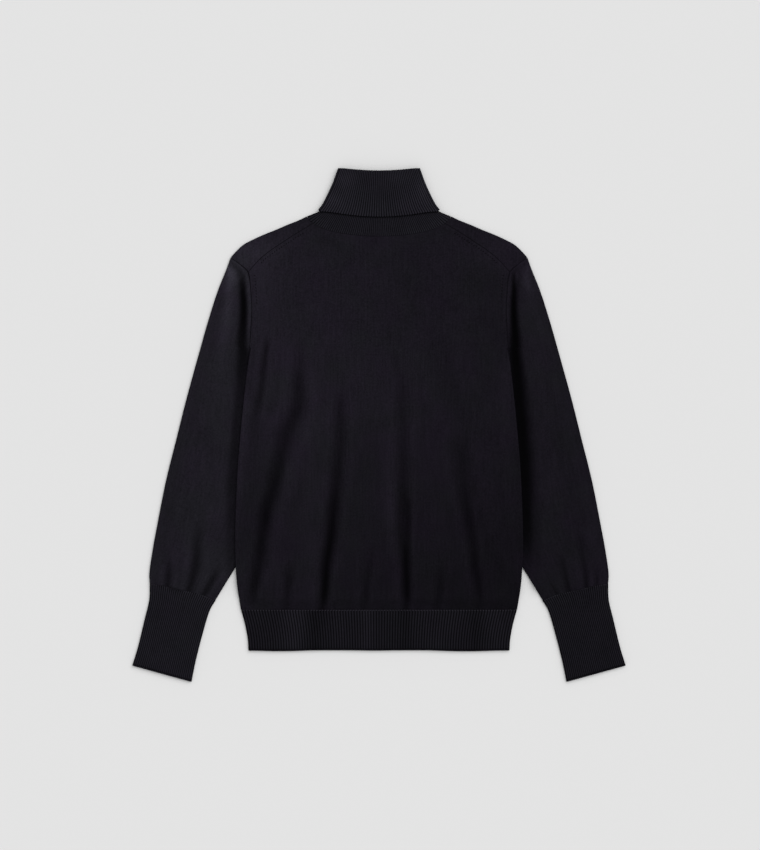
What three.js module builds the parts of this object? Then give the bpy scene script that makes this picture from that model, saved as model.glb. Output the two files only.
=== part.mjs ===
import * as THREE from 'three';

// A fine-gauge knitted turtleneck sweater laid flat with its back up, in millimetres.
// +Y runs from the hem to the collar and +Z up from the surface that it lies on.
// The origin is the middle of its footprint on that surface, on the centre back line.
const { smoothstep, lerp } = THREE.MathUtils;

// Driving dimensions of the cloth
const jersey = 1.5; // wall of the plain knit
const ribKnit = 1.6; // wall of the ribbed knit
const ribRelief = 0.5; // crest of a rib above its wall
const seamGap = 0.3; // between two panels where they are joined
const armholeGap = 0.5; // between the body and a sleeve
const layerGap = 0.4; // between two layers that lie on each other
const foldReach = 1; // how far a pressed fold's middle runs past the flat cloth
const puff = 3.3; // most that the upper layer stands off the lower one

// Heights of the middle of each layer
const jerseyLow = jersey / 2;
const jerseyHigh = jerseyLow + jersey + layerGap;
const ribLow = ribKnit / 2;
const ribHigh = ribLow + ribKnit + layerGap;
const overSleeve = 2 * (jersey + layerGap); // what the body is lifted where a sleeve is tucked under it
const overTurnover = ribKnit + layerGap; // what the neck is lifted by the turnover's front
const liftAhead = 18; // how much further down the upper layers are lifted by it
const turnoverHigh = ribHigh + overTurnover + ribRelief + layerGap + ribKnit;

// Where the garment's main lines lie along its length
const underarmY = 116;
const gatherY = -250; // below it a sleeve's upper layer is measured from the cuff's inner corner
const hemSeamY = -277.5;
const hemMiddleY = -308;
const hemEndY = -338.5;

// Gaps that need more room than a seam's, and small steps aside at the corners of the panels
const neckGap = 1.7 * seamGap; // between the back panel and the stand, whose ribs are raised
const hemGap = 0.6 * seamGap; // on each side of the hem's seam
const turnoverGap = 1.5 * seamGap; // between the stand's top and the turnover's start
const cornerStep = { x: 0.1, y: 0.15 };

// Half width of the body from the hem's seam to the underarm
const bodyEdge = [
  { y: -277.5, half: 207.4 }, { y: -262, half: 210 }, { y: -247, half: 212.3 }, { y: -217, half: 215 },
  { y: -172, half: 216.3 }, { y: -76, half: 213 }, { y: 4, half: 206.5 }, { y: 60, half: 200.7 },
  { y: 88, half: 197.2 }, { y: 104, half: 194.8 }, { y: 116, half: 193 },
];

// Half width of the hem's rib
const hemEdge = [
  { y: -338.5, half: 196 }, { y: -322, half: 197 }, { y: -300, half: 201 }, { y: -277.5, half: 207 },
];

// Seams and outlines of the right half, each from the collar outwards or downwards
const armholeLine = [
  { x: 223, y: 251 }, { x: 208, y: 240.5 }, { x: 196.5, y: 229.5 }, { x: 192.6, y: 203 },
  { x: 191, y: 166 }, { x: 194.5, y: 116 },
];
const shoulderOutline = [
  { x: 108.4, y: 313.2 }, { x: 119, y: 308 }, { x: 136.5, y: 301 }, { x: 155, y: 293 },
  { x: 172.5, y: 286 }, { x: 190, y: 278 }, { x: 203, y: 271 }, { x: 212.5, y: 262.5 }, { x: 223, y: 251 },
];
const shoulderSeam = [
  { x: 99, y: 303 }, { x: 133, y: 282 }, { x: 174.5, y: 253 }, { x: 196.5, y: 229.5 },
];
const sleeveOutline = [
  { x: 223, y: 251 }, { x: 229.5, y: 233 }, { x: 241.5, y: 203 }, { x: 256, y: 158 }, { x: 273, y: 98 },
  { x: 289.5, y: 38 }, { x: 304.5, y: -22 }, { x: 319.5, y: -82 }, { x: 331.5, y: -142 },
  { x: 341, y: -194 }, { x: 345, y: -225 }, { x: 344.3, y: -237.5 },
];
const sleeveInside = [
  { x: 194.8, y: 115.7 }, { x: 195.7, y: 106 }, { x: 197, y: 96 }, { x: 197.5, y: 87 }, { x: 190, y: 72 },
  { x: 178, y: 53 }, { x: 166, y: 20 }, { x: 162, y: -38 }, { x: 171, y: -112 }, { x: 192, y: -172 },
  { x: 214.5, y: -212 }, { x: 231, y: -239 }, { x: 245.5, y: -263 },
];
const cuffSeam = [
  { x: 344.3, y: -237.5 }, { x: 320.5, y: -241.5 }, { x: 288.5, y: -249 }, { x: 264.5, y: -255 },
  { x: 245.5, y: -263 },
];
const cuffOutline = [
  { x: 344.3, y: -238 }, { x: 345, y: -262 }, { x: 352, y: -292 }, { x: 363, y: -337 },
  { x: 370.5, y: -361 },
];
const cuffInside = [
  { x: 245.4, y: -263.6 }, { x: 253.5, y: -277 }, { x: 266, y: -318 }, { x: 276, y: -358 },
  { x: 281.5, y: -385.6 },
];

// Folds of the back panel: a soft trough from (x0, y0) down to (x1, y1), widening to its lower end
const backFolds = [
  { x0: -128, y0: 43, x1: -187, y1: -250, wide: 19, deep: 1 },
  { x0: -58, y0: 43, x1: -83, y1: -271, wide: 17, deep: 1 },
  { x0: 34, y0: 43, x1: 40, y1: -271, wide: 16, deep: 0.95 },
  { x0: 118, y0: -40, x1: 149, y1: -268, wide: 17, deep: 0.9 },
  { x0: -20, y0: -190, x1: -22, y1: -272, wide: 11, deep: 0.6 },
  { x0: 94, y0: -205, x1: 86, y1: -272, wide: 11, deep: 0.6 },
];

// Furrow and pillow of each sleeve's upper layer, measured outwards from the armhole or the body's edge:
// ridge is the height kept beside the seam, floor where the pillow starts to rise, rise how far it takes
const leftFurrow = [
  { y: -263, ridge: 0, floor: 1, rise: 30 }, { y: -200, ridge: 0, floor: 6, rise: 38 },
  { y: 60, ridge: 0, floor: 7, rise: 38 }, { y: 116, ridge: 0, floor: 9, rise: 22 },
  { y: 150, ridge: 2.6, floor: 14, rise: 13 }, { y: 205, ridge: 3, floor: 14, rise: 13 },
  { y: 228, ridge: 1.6, floor: 15, rise: 20 }, { y: 251, ridge: 0, floor: 20, rise: 30 },
];
const rightFurrow = [
  { y: -263, ridge: 0, floor: 1, rise: 30 }, { y: -200, ridge: 0, floor: 8, rise: 24 },
  { y: 60, ridge: 0, floor: 10, rise: 16 }, { y: 116, ridge: 0, floor: 10, rise: 16 },
  { y: 150, ridge: 2.6, floor: 13, rise: 15 }, { y: 205, ridge: 3, floor: 13, rise: 15 },
  { y: 228, ridge: 1.6, floor: 15, rise: 20 }, { y: 251, ridge: 0, floor: 20, rise: 30 },
];

// Ramps over which the heights of the upper layers rise or fall, by y or by distance
const ramps = {
  neckEdge: { from: -22, to: -2 }, // from the free edge of the turnover's front
  neckSide: { from: 92, to: 108 },
  tuckedUnder: { from: -44, to: -18 }, // from the inner edge of the tucked sleeve
  tuckedTop: { from: 96, to: 114 },
  ridgeFoot: { from: 118, to: 150 },
  ridgeTop: { from: 222, to: 246 },
  ridgeWidth: { from: 0, to: 45 },
  bodyFoot: { from: -277, to: -245 },
  bodyTop: { from: 20, to: 130 },
  bodySide: { from: 6, to: 34 },
  sleeveFoot: { from: -268, to: -225 },
  sleeveTop: { from: 205, to: 246 },
  sleeveSide: { from: 3, to: 34 },
  furrowSide: { from: 3, to: 14 },
  furrowWidth: { from: 4.5, to: 11 },
  foldParted: { from: 88, to: 112 },
};
const ridgeHigh = 3; // of the body's ridge along the armhole
const parting = 0.8; // how far the side fold opens at the underarm
const gatherDeep = 0.85;
const fadeIn = { fold: 0.5, gather: 0.6 }; // share of its length over which a trough deepens
const troughTop = 0.55; // width of a trough at its upper end, as a share of its width

// Gathers of the sleeves into the cuffs, from (x0, y0) down to the cuff's seam at (x1, y1)
const leftGathers = [
  { x0: 317, y0: -212, x1: 318.5, y1: -240, wide: 6 },
  { x0: 274.5, y0: -165, x1: 287, y1: -247, wide: 8 },
  { x0: 247, y0: -225, x1: 265, y1: -254, wide: 6 },
];
const rightGathers = [
  { x0: 301, y0: -175, x1: 310, y1: -243, wide: 7 },
  { x0: 275, y0: -205, x1: 285, y1: -249, wide: 7 },
  { x0: 325.5, y0: -220, x1: 326.5, y1: -240, wide: 5 },
  { x0: 258, y0: -238, x1: 269.5, y1: -254, wide: 5 },
];

// Levels of the collar, each a flattened ring: its side tip and the way that the side fold faces,
// the centre back, how far the back line bows up to the sides, and the centre front
const standLevels = [
  { x: 107.5, y: 312.6, turn: 62, back: 283.9, bow: 16, front: 250.3 },
  { x: 88.9, y: 320.4, turn: 48, back: 311, bow: 11, front: 276.5 },
  { x: 84.5, y: 326, turn: 30, back: 317.5, bow: 10, front: 283 },
  { x: 72.8, y: 346, turn: 22, back: 339, bow: 8, front: 305 },
  { x: 59.7, y: 382, turn: 12, back: 378.2, bow: 4.4, front: 344.2 },
];
const turnoverLevels = [
  { x: 61.3, y: 383.7, turn: 12, back: 379.7, bow: 4.4, front: 345.8 },
  { x: 70.1, y: 360, turn: 22, back: 355, bow: 6, front: 321 },
  { x: 82.6, y: 334, turn: 34, back: 326, bow: 9.5, front: 292 },
  { x: 90.6, y: 322.6, turn: 40, back: 313, bow: 11, front: 279 },
];
const turnRadius = 1.25; // of the fold at the top of the collar
const turnSteps = [0, 50, 90, 130]; // degrees round that fold
const frontPower = 2.4; // how steeply a level's front line climbs to the sides
const edgePower = 2.2; // the same for the turnover's free edge, as the neck lies over it
const hookPower = 8; // how late a level's back line turns up into its side tip
const turnoverReach = 3; // of the turnover's side folds, which pass round the stand's

// Ribs across each visible side
const ribs = { hem: 98, cuff: 30, stand: 70, turnover: 46 };

// Divisions of the sheets
const bodyRows = [-262, -243, -222, -195, -160, -115, -70, -25, 20, 60, 84, 97, 105, 113];
const neckHalves = [0.16, 0.33, 0.5, 0.67, 0.82, 0.92];
const frontNeckShares = [0, 0.26, 0.5, 0.7, 0.86, 1];
const shoulderSteps = 6;
const sleeveRings = 18;
const cuffRings = 3;
const hemLowerSteps = 10;
const insideEvery = 7; // columns of a ribbed layer to one on its plain inside
const topStops = 12; // steps across a sleeve's upper layer, the first jointStop of them over the shoulder
const jointStop = 3;
const foldAngles = [45, 0, -45];
const ringEase = 1.12; // crowds a sleeve's rings towards the shoulder
const innerPace = 2.4; // how late the rings' inner ends leave the underarm
const armShape = { from: 0, to: 0.18 }; // share of a sleeve over which its rings bend as the armhole does
const cuffShape = { from: 0.8, to: 1 }; // and as the cuff's seam does
const bendPower = 6; // how late the shoulder's strip takes the armhole's bend
const sideCurl = [{ out: 0.5, up: 0.87 }, { out: 0.87, up: 0.55 }, { out: 0.885, up: 0.24 }];

const armhole = pathThrough(armholeLine);
const shoulder = pathThrough(shoulderOutline);
const seamOfShoulder = pathThrough(shoulderSeam);
const halfAt = tableLine(bodyEdge, 'y', 'half');
const tuckedAt = tableLine([...sleeveInside].reverse(), 'y', 'x');
const armholeAt = tableLine([...armholeLine].reverse(), 'y', 'x');
const outlineAt = tableLine([...sleeveOutline].reverse(), 'y', 'x');

function pathThrough(table) {
  const points = table.map(({ x, y }) => new THREE.Vector3(x, y, 0));
  return new THREE.CatmullRomCurve3(points, false, 'centripetal');
}

// A smooth line through a table's rows, as a function of the rising column
function tableLine(table, rising, column) {
  const last = table.length - 1;
  const slopes = table.map((row, k) => {
    const before = table[Math.max(k - 1, 0)];
    const after = table[Math.min(k + 1, last)];
    return (after[column] - before[column]) / (after[rising] - before[rising]);
  });
  return place => {
    let k = 0;
    while (k < last - 1 && table[k + 1][rising] < place) k += 1;
    const [a, b] = [table[k], table[k + 1]];
    const span = b[rising] - a[rising];
    const t = THREE.MathUtils.clamp((place - a[rising]) / span, 0, 1);
    const ease = t * t * (3 - 2 * t);
    return lerp(a[column], b[column], ease)
      + span * t * (1 - t) * ((1 - t) * slopes[k] - t * slopes[k + 1]);
  };
}

// A point beside a path, a distance to the left of its direction
function beside(path, share, distance) {
  const way = path.getTangentAt(share);
  return path.getPointAt(share).add(new THREE.Vector3(-way.y, way.x, 0).multiplyScalar(distance));
}

const rise = (place, ramp) => smoothstep(place, ramp.from, ramp.to);
const fall = (place, ramp) => 1 - rise(place, ramp);

// The way square to a path, to the left of its direction
function squareTo(path, share) {
  const way = path.getTangentAt(share);
  return new THREE.Vector3(-way.y, way.x, 0);
}

// How much of a trough is felt at a place: 1 along its middle and 0 beside it
function troughShare(trough, x, y, deepening) {
  const t = (trough.y0 - y) / (trough.y0 - trough.y1);
  if (t <= 0) return 0;
  const middle = lerp(trough.x0, trough.x1, Math.min(t, 1));
  const wide = trough.wide * lerp(troughTop, 1, Math.min(t, 1));
  return smoothstep(t, 0, deepening) * Math.exp(-(((x - middle) / wide) ** 2));
}

// Lift of the neck where the turnover's front lies under it
function neckLift(x, y) {
  const edge = turnoverLevels.at(-1);
  const side = Math.abs(x);
  const freeEdge = edge.front + (edge.y - edge.front) * (side / edge.x) ** edgePower;
  return overTurnover * rise(y - freeEdge, ramps.neckEdge) * fall(side, ramps.neckSide);
}

// Lift of the body's side over the part of the sleeve that is tucked under it
function sideLift(x, y) {
  return overSleeve * rise(Math.abs(x) - tuckedAt(y), ramps.tuckedUnder) * fall(y, ramps.tuckedTop);
}

// Ridge of the upper layer along the armhole, on the body's side of the seam
function armholeRidge(x, y) {
  if (y < underarmY) return 0;
  const away = armholeAt(y) - Math.abs(x);
  return ridgeHigh * rise(y, ramps.ridgeFoot) * fall(y, ramps.ridgeTop) * fall(away, ramps.ridgeWidth);
}

// Height of the air under the back panel, parted by its folds and held down at the edges
function backPuff(x, y) {
  const pillow = rise(y, ramps.bodyFoot) * fall(y, ramps.bodyTop);
  const edges = rise(halfAt(Math.min(y, underarmY)) - Math.abs(x), ramps.bodySide);
  const kept = backFolds.reduce((share, fold) => {
    return share * (1 - fold.deep * troughShare(fold, x, y, fadeIn.fold));
  }, 1);
  return puff * pillow * edges * kept;
}

// Where the part of a sleeve that shows starts, beside the armhole, the body or the cuff
function innerEdge(y) {
  if (y > underarmY) return armholeAt(y);
  return y > gatherY ? halfAt(y) : cuffSeam.at(-1).x;
}

// Height of the air under a sleeve's upper layer
function sleevePuff(x, y, furrow, gathers) {
  const away = x - innerEdge(y);
  if (away < 0) return 0;
  const toOutline = outlineAt(y) - x;
  const length = rise(y, ramps.sleeveFoot) * fall(y, ramps.sleeveTop);
  const pillow = smoothstep(away, furrow.floor(y), furrow.floor(y) + furrow.rise(y));
  const kept = gathers.reduce((share, gather) => {
    return share * (1 - gatherDeep * troughShare(gather, x, y, fadeIn.gather));
  }, 1);
  const ridge = furrow.ridge(y) * fall(away, ramps.furrowWidth) * rise(toOutline, ramps.furrowSide);
  return ridge + puff * length * rise(toOutline, ramps.sleeveSide) * pillow * kept;
}

// Middle heights of the two layers of the body
const frontHeight = (x, y) => jerseyLow + sideLift(x, y);
const backHeight = (x, y) => {
  return jerseyHigh + sideLift(x, y) + neckLift(x, y + liftAhead) + armholeRidge(x, y) + backPuff(x, y);
};
const stripHeight = (x, y) => jerseyHigh + armholeRidge(x, y);

// Points round a pressed fold, from the end of one layer to the end of the other
function foldPoints(from, to, outward, reach, angles) {
  const middle = from.clone().add(to).multiplyScalar(0.5);
  return angles.map(angle => {
    const turn = THREE.MathUtils.degToRad(angle);
    return middle.clone()
      .addScaledVector(outward, reach * Math.cos(turn))
      .addScaledVector(from.clone().sub(middle), Math.sin(turn));
  });
}

// Quads of a grid of points, wrapped round when its columns close on themselves
function gridQuads(rowCount, columnCount, closed, first = 0) {
  const quads = [];
  for (let r = 0; r < rowCount - 1; r += 1) {
    for (let c = 0; c < columnCount - (closed ? 0 : 1); c += 1) {
      const next = (c + 1) % columnCount;
      const [low, high] = [first + r * columnCount, first + (r + 1) * columnCount];
      quads.push([low + c, low + next, high + next, high + c]);
    }
  }
  return quads;
}

function sheetNormals(points, quads) {
  const normals = points.map(() => new THREE.Vector3());
  for (const quad of quads) {
    const [a, b, c, d] = quad.map(k => points[k]);
    const normal = c.clone().sub(a).cross(d.clone().sub(b));
    quad.forEach(k => normals[k].add(normal));
  }
  return normals.map(normal => normal.normalize());
}

// A closed geometry of triangles whose faces point outwards
function closedGeometry(points, faces) {
  const volume = faces.reduce((sum, [a, b, c]) => {
    return sum + points[a].dot(points[b].clone().cross(points[c]));
  }, 0);
  const order = volume < 0 ? faces.map(([a, b, c]) => [a, c, b]) : faces;
  const geometry = new THREE.BufferGeometry().setFromPoints(points);
  geometry.setIndex(order.flat());
  geometry.computeVertexNormals();
  return geometry;
}

// The wall of a sheet: both its sides and a rim along every free edge
function sheetWall(points, quads, thickness) {
  const normals = sheetNormals(points, quads);
  const side = way => points.map((p, k) => p.clone().addScaledVector(normals[k], way * thickness / 2));
  const count = points.length;
  const faces = [];
  const edges = new Set();
  for (const [a, b, c, d] of quads) {
    faces.push([a, b, c], [a, c, d], [a + count, c + count, b + count], [a + count, d + count, c + count]);
    [[a, b], [b, c], [c, d], [d, a]].forEach(([p, q]) => edges.add(`${p} ${q}`));
  }
  for (const edge of edges) {
    const [p, q] = edge.split(' ').map(Number);
    if (!edges.has(`${q} ${p}`)) faces.push([q, p, p + count], [q, p + count, q + count]);
  }
  return closedGeometry([...side(1), ...side(-1)], faces);
}

// The wall of a ribbed tube: raised ribs on its outer points over a plain inside with fewer columns
function ribbedWall(rings, raised, kept) {
  const [rows, columns, inside] = [rings.length, rings[0].length, kept.length];
  const middle = rings.flat();
  const normals = sheetNormals(middle, gridQuads(rows, columns, true));
  const upwards = Math.sign(normals[(rows - 1) * columns + Math.floor(raised.length / 2)].z);
  const relief = (k, way) => upwards * (way * ribKnit / 2 + (way > 0 ? raised[k % columns] ?? 0 : 0));
  const offset = (k, way) => middle[k].clone().addScaledVector(normals[k], relief(k, way));
  const outer = middle.map((p, k) => offset(k, 1));
  const inner = rings.flatMap((ring, r) => kept.map(c => offset(r * columns + c, -1)));
  const first = outer.length;
  const split = ([a, b, c, d]) => [[a, b, c], [a, c, d]];
  const faces = [
    ...gridQuads(rows, columns, true).flatMap(split),
    ...gridQuads(rows, inside, true, first).flatMap(([a, b, c, d]) => split([d, c, b, a])),
  ];
  const rim = (row, flip) => {
    const [outside, within] = [row * columns, first + row * inside];
    const add = (a, b, c) => faces.push(flip ? [a, b, c] : [b, a, c]);
    kept.forEach((from, k) => {
      const to = k + 1 < inside ? kept[k + 1] : kept[0] + columns;
      const half = Math.floor((from + to) / 2);
      for (let c = from; c < to; c += 1) {
        const corner = within + (c < half ? k : (k + 1) % inside);
        add(outside + (c % columns), outside + ((c + 1) % columns), corner);
      }
      add(outside + (half % columns), within + ((k + 1) % inside), within + k);
    });
  };
  rim(0, false);
  rim(rows - 1, true);
  return closedGeometry([...outer, ...inner], faces);
}

// A flattened ring: its upper layer across, a fold, its lower layer back again and the other fold
function flatRing(upper, lower, startWay, endWay, reach) {
  const back = [...lower].reverse();
  return [
    ...upper, ...foldPoints(upper.at(-1), back[0], endWay, reach, foldAngles),
    ...back, ...foldPoints(back.at(-1), upper[0], startWay, reach, foldAngles),
  ];
}

const shares = count => Array.from({ length: count + 1 }, (_, k) => k / count);

// Columns of a ribbed ring's upper layer, a crest and a groove for each rib, and what its inside keeps
function ribColumns(count, lowerCount) {
  const steps = count * 2;
  const raised = Array.from({ length: steps + 1 }, (_, k) => (k % 2 === 1 ? ribRelief : 0));
  const kept = raised.map((_, k) => k).filter(k => k % insideEvery === 0 || k === steps);
  const total = steps + 1 + foldAngles.length * 2 + lowerCount;
  for (let k = steps + 1; k < total; k += 1) kept.push(k);
  return { places: shares(steps), raised, kept };
}

const point = (x, y, z) => new THREE.Vector3(x, y, z);
const bearing = (degrees, side = 1) => {
  const turn = THREE.MathUtils.degToRad(degrees);
  return point(side * Math.cos(turn), Math.sin(turn), 0);
};

function named(name, geometry, colour) {
  const material = new THREE.MeshStandardMaterial({ color: colour, roughness: 0.9, metalness: 0 });
  const mesh = new THREE.Mesh(geometry, material);
  mesh.name = name;
  return mesh;
}

// The line of a collar level: y at a share of its half width, on the back and on the front
function levelLines(level, reach) {
  const tip = point(level.x, level.y, 0);
  const start = tip.addScaledVector(bearing(level.turn), -reach);
  const hook = start.y - level.back - level.bow;
  return {
    half: start.x,
    backY: share => level.back + level.bow * share ** 2 + hook * Math.abs(share) ** hookPower,
    frontY: share => level.front + (start.y - level.front) * Math.abs(share) ** frontPower,
  };
}

const neckline = levelLines(standLevels[0], foldReach);
const backNeckY = x => neckline.backY(x / neckline.half);
const frontNeckY = x => neckline.frontY(x / neckline.half);

// Moves a top edge's point square to its line by half a seam's gap, down into its own panel
function belowLine(lineY, x, gap = seamGap) {
  const slope = x > 0 ? lineY(x + 0.5) - lineY(x - 0.5) : 0;
  const steep = Math.hypot(1, slope);
  return point(x + gap * slope / steep, lineY(x) - gap / steep, 0);
}

const sideInset = jersey / 2 + foldReach;

// Stops along the armhole from the shoulder's tip to the underarm, by share of its length
function armholeStops() {
  const length = armhole.getLength();
  const margin = sideInset / length;
  const divisions = 400;
  const seamRow = armholeLine.findIndex(row => row.x === shoulderSeam.at(-1).x);
  const toSeam = armhole.getLengths(divisions)[Math.round(divisions * seamRow / (armholeLine.length - 1))];
  const joint = toSeam / length;
  return Array.from({ length: topStops + 1 }, (_, k) => (k <= jointStop
    ? lerp(margin, joint, k / jointStop)
    : lerp(joint, 1 - margin, (k - jointStop) / (topStops - jointStop))));
}
const stops = armholeStops();
const lowerStops = stops.filter((_, k) => k % 3 === 0);

// The share of a path at which its x comes short of an edge by the side's inset
function shareShortOf(path, edgeX) {
  let share = 1;
  while (path.getPointAt(share).x > edgeX - sideInset) share -= 0.001;
  return share;
}

// The flat columns of a panel between its two edges, then the columns round each side fold
function panelRow(row, tops, heightAt, layer) {
  const topEdge = tops.at(-1).x;
  const flat = tops.map(top => {
    const x = top.x / topEdge * (row.half - sideInset);
    const y = row.share === undefined ? row.y : lerp(underarmY, top.y, row.share);
    return point(x, y, heightAt(x, y));
  });
  const last = flat.at(-1);
  const [low, high] = [frontHeight(last.x, last.y), jerseyHigh + sideLift(last.x, last.y)];
  const parted = parting * rise(row.y, ramps.foldParted);
  const curled = sideCurl.map(({ out, up }, k) => {
    if (row.share === undefined) {
      const z = (low + high) / 2 + layer * lerp(up, 1, parted) * (high - low) / 2;
      return point(row.half - jersey / 2 - foldReach * (1 - out), row.y, z);
    }
    const share = (k + 1) / sideCurl.length;
    const [x, y] = [lerp(last.x, row.half, share), lerp(last.y, row.y, share)];
    return point(x, y, heightAt(x, y));
  });
  const mirrored = curled.map(p => point(-p.x, p.y, p.z)).reverse();
  return [...mirrored, ...flat, ...curled];
}

// Rows of a panel below the underarm and, up the armhole, to the last of its stops
function panelRows(edgeStops, topY) {
  const lower = [hemSeamY + hemGap, ...bodyRows].map(y => ({ y, half: halfAt(y) }));
  const upper = [...edgeStops].reverse().map((stop, k) => {
    const edge = beside(armhole, stop, k === 0 ? -2 * armholeGap : -armholeGap);
    return { y: edge.y, half: edge.x, share: (edge.y - underarmY) / (topY - underarmY) };
  });
  return [...lower, ...upper];
}

const mirroredRow = points => [...points.slice(1).reverse().map(p => point(-p.x, p.y, 0)), ...points];

const seamShare = shareShortOf(seamOfShoulder, beside(armhole, stops[jointStop], -armholeGap).x);

function backPanel() {
  const neck = [0, ...neckHalves].map(share => belowLine(backNeckY, share * shoulderSeam[0].x, neckGap));
  const corner = beside(armhole, stops[jointStop], -armholeGap);
  const seam = shares(shoulderSteps).map(share => beside(seamOfShoulder, share * seamShare, -seamGap / 2));
  seam[0].add(point(-cornerStep.x, -cornerStep.y, 0));
  const tops = mirroredRow([...neck, ...seam]);
  const rows = panelRows(stops.slice(jointStop), corner.y).map(row => panelRow(row, tops, backHeight, 1));
  const columns = rows[0].length;
  return sheetWall(rows.flat(), gridQuads(rows.length, columns, false), jersey);
}

function frontPanel() {
  const foldWay = share => {
    const way = share < 1 ? shoulder.getTangentAt(share) : armhole.getTangentAt(0);
    return share < 1 ? point(-way.y, way.x, 0) : way.negate();
  };
  const foldStart = share => shoulder.getPointAt(share).addScaledVector(foldWay(share), -sideInset);
  const edge = beside(armhole, stops[0], -armholeGap);
  const lastShare = shareShortOf(shoulder, edge.x + 1);
  const neck = frontNeckShares.slice(0, -1).map(share => belowLine(frontNeckY, share * neckline.half));
  const wrapShares = shares(shoulderSteps).map(share => share * lastShare);
  const tops = mirroredRow([...neck, ...wrapShares.map(foldStart)]);
  const rows = panelRows(lowerStops, edge.y).map(row => panelRow(row, tops, frontHeight, -1));
  const columns = rows[0].length;
  const points = rows.flat();
  const quads = gridQuads(rows.length, columns, false);
  const centre = points.length - (columns + 1) / 2;
  const seamShares = shares(shoulderSteps).map(share => share * seamShare);
  sideCurl.forEach((_, k) => {
    wrapShares.push(lerp(lastShare, 1, (k + 1) / sideCurl.length));
    seamShares.push(lerp(seamShare, 1, (k + 1) / sideCurl.length));
  });
  const ends = stops.slice(0, jointStop + 1).map(stop => beside(armhole, stop, -armholeGap));

  // The strip that wraps over each shoulder to the seam on the back
  const lastColumn = wrapShares.length - 1;
  for (const side of [1, -1]) {
    const onPanel = k => centre + side * (neck.length + k);
    const first = points.length;
    wrapShares.forEach((share, k) => {
      const low = points[onPanel(k)].clone();
      low.x = Math.abs(low.x);
      const end = beside(seamOfShoulder, seamShares[k], seamGap / 2);
      const top = shares(jointStop).map((t, n) => {
        const bend = ends[n].clone().sub(ends[0].clone().lerp(ends[jointStop], t));
        const place = low.clone().lerp(end, t).addScaledVector(bend, share ** bendPower);
        if (k === 0 && t > 0) place.copy(belowLine(backNeckY, lerp(low.x, end.x, t)));
        if (k === lastColumn) place.copy(ends[n]);
        return point(place.x, place.y, stripHeight(place.x, place.y));
      });
      if (k === lastColumn) top.at(-1).add(point(cornerStep.x, cornerStep.y, 0));
      const round = foldPoints(low, top[0], foldWay(share), foldReach, foldAngles);
      [...round, ...top].forEach(p => points.push(point(side * p.x, p.y, p.z)));
    });
    const height = foldAngles.length + jointStop + 1;
    const strand = k => [onPanel(k), ...Array.from({ length: height }, (_, r) => first + k * height + r)];
    for (let k = 0; k < lastColumn; k += 1) {
      const [near, far] = [strand(k), strand(k + 1)];
      for (let r = 0; r < height; r += 1) {
        const quad = [near[r], far[r], far[r + 1], near[r + 1]];
        quads.push(side > 0 ? quad : quad.reverse());
      }
    }
  }
  return sheetWall(points, quads, jersey);
}

// A sleeve is a flattened tube from the armhole to the cuff's seam
function sleeve(side, furrowTable, gathers) {
  const furrow = Object.fromEntries(['ridge', 'floor', 'rise'].map(column => {
    return [column, tableLine(furrowTable, 'y', column)];
  }));
  const outer = pathThrough(sleeveOutline);
  const inner = pathThrough(sleeveInside);
  const end = pathThrough(cuffSeam);
  const bulge = (path, share) => {
    return path.getPointAt(share).sub(path.getPointAt(0).lerp(path.getPointAt(1), share));
  };
  const rings = shares(sleeveRings).map(share => {
    const along = share ** ringEase;
    const [from, to] = [outer.getPointAt(along), inner.getPointAt(along ** innerPace)];
    const margin = sideInset / from.distanceTo(to);
    const across = to.clone().sub(from).normalize();
    const nearArm = fall(along, armShape);
    const nearCuff = rise(along, cuffShape);
    const place = (stop, height) => {
      const t = lerp(margin, 1 - margin, (stop - stops[0]) / (stops.at(-1) - stops[0]));
      const plan = share === 0
        ? armhole.getPointAt(stop)
        : from.clone().lerp(to, t).addScaledVector(bulge(armhole, t), nearArm)
          .addScaledVector(bulge(end, t), nearCuff);
      return point(side * plan.x, plan.y, height(plan.x, plan.y));
    };
    const upper = stops.map(stop => {
      return place(stop, (x, y) => jerseyHigh + sleevePuff(x, y, furrow, gathers));
    });
    const lower = lowerStops.map(stop => place(stop, () => jerseyLow));
    const ways = share === 0
      ? [armhole.getTangentAt(0).negate(), armhole.getTangentAt(1)]
      : [squareTo(outer, along), across];
    if (share > 0) {
      const inset = from.clone().addScaledVector(ways[0], -sideInset);
      [upper[0], lower[0]].forEach(p => p.set(side * inset.x, inset.y, p.z));
    }
    ways.forEach(way => { way.x *= side; });
    return flatRing(upper, lower, ways[0], ways[1], foldReach);
  });
  return sheetWall(rings.flat(), gridQuads(rings.length, rings[0].length, true), jersey);
}

// A cuff is a ribbed tube from its seam to the end of the arm
function cuff(side) {
  const [outer, inner] = [pathThrough(cuffOutline), pathThrough(cuffInside)];
  const start = pathThrough(cuffSeam);
  const lowerPlaces = lowerStops.map(stop => (stop - stops[0]) / (stops.at(-1) - stops[0]));
  const columns = ribColumns(ribs.cuff, lowerPlaces.length);
  const rings = shares(cuffRings).map(share => {
    const [from, to] = [outer.getPointAt(share), inner.getPointAt(share)];
    const margin = (ribKnit / 2 + foldReach) / from.distanceTo(to);
    const place = (along, z) => {
      const t = lerp(margin, 1 - margin, along);
      const straight = start.getPointAt(0).lerp(start.getPointAt(1), t);
      const plan = from.clone().lerp(to, t).add(start.getPointAt(t).sub(straight).multiplyScalar(1 - share));
      return point(side * plan.x, plan.y, z);
    };
    const across = to.clone().sub(from).normalize();
    across.x *= side;
    const upper = columns.places.map(along => place(along, ribHigh));
    const lower = lowerPlaces.map(along => place(along, ribLow));
    return flatRing(upper, lower, across.clone().negate(), across, foldReach);
  });
  return ribbedWall(rings, columns.raised, columns.kept);
}

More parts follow.
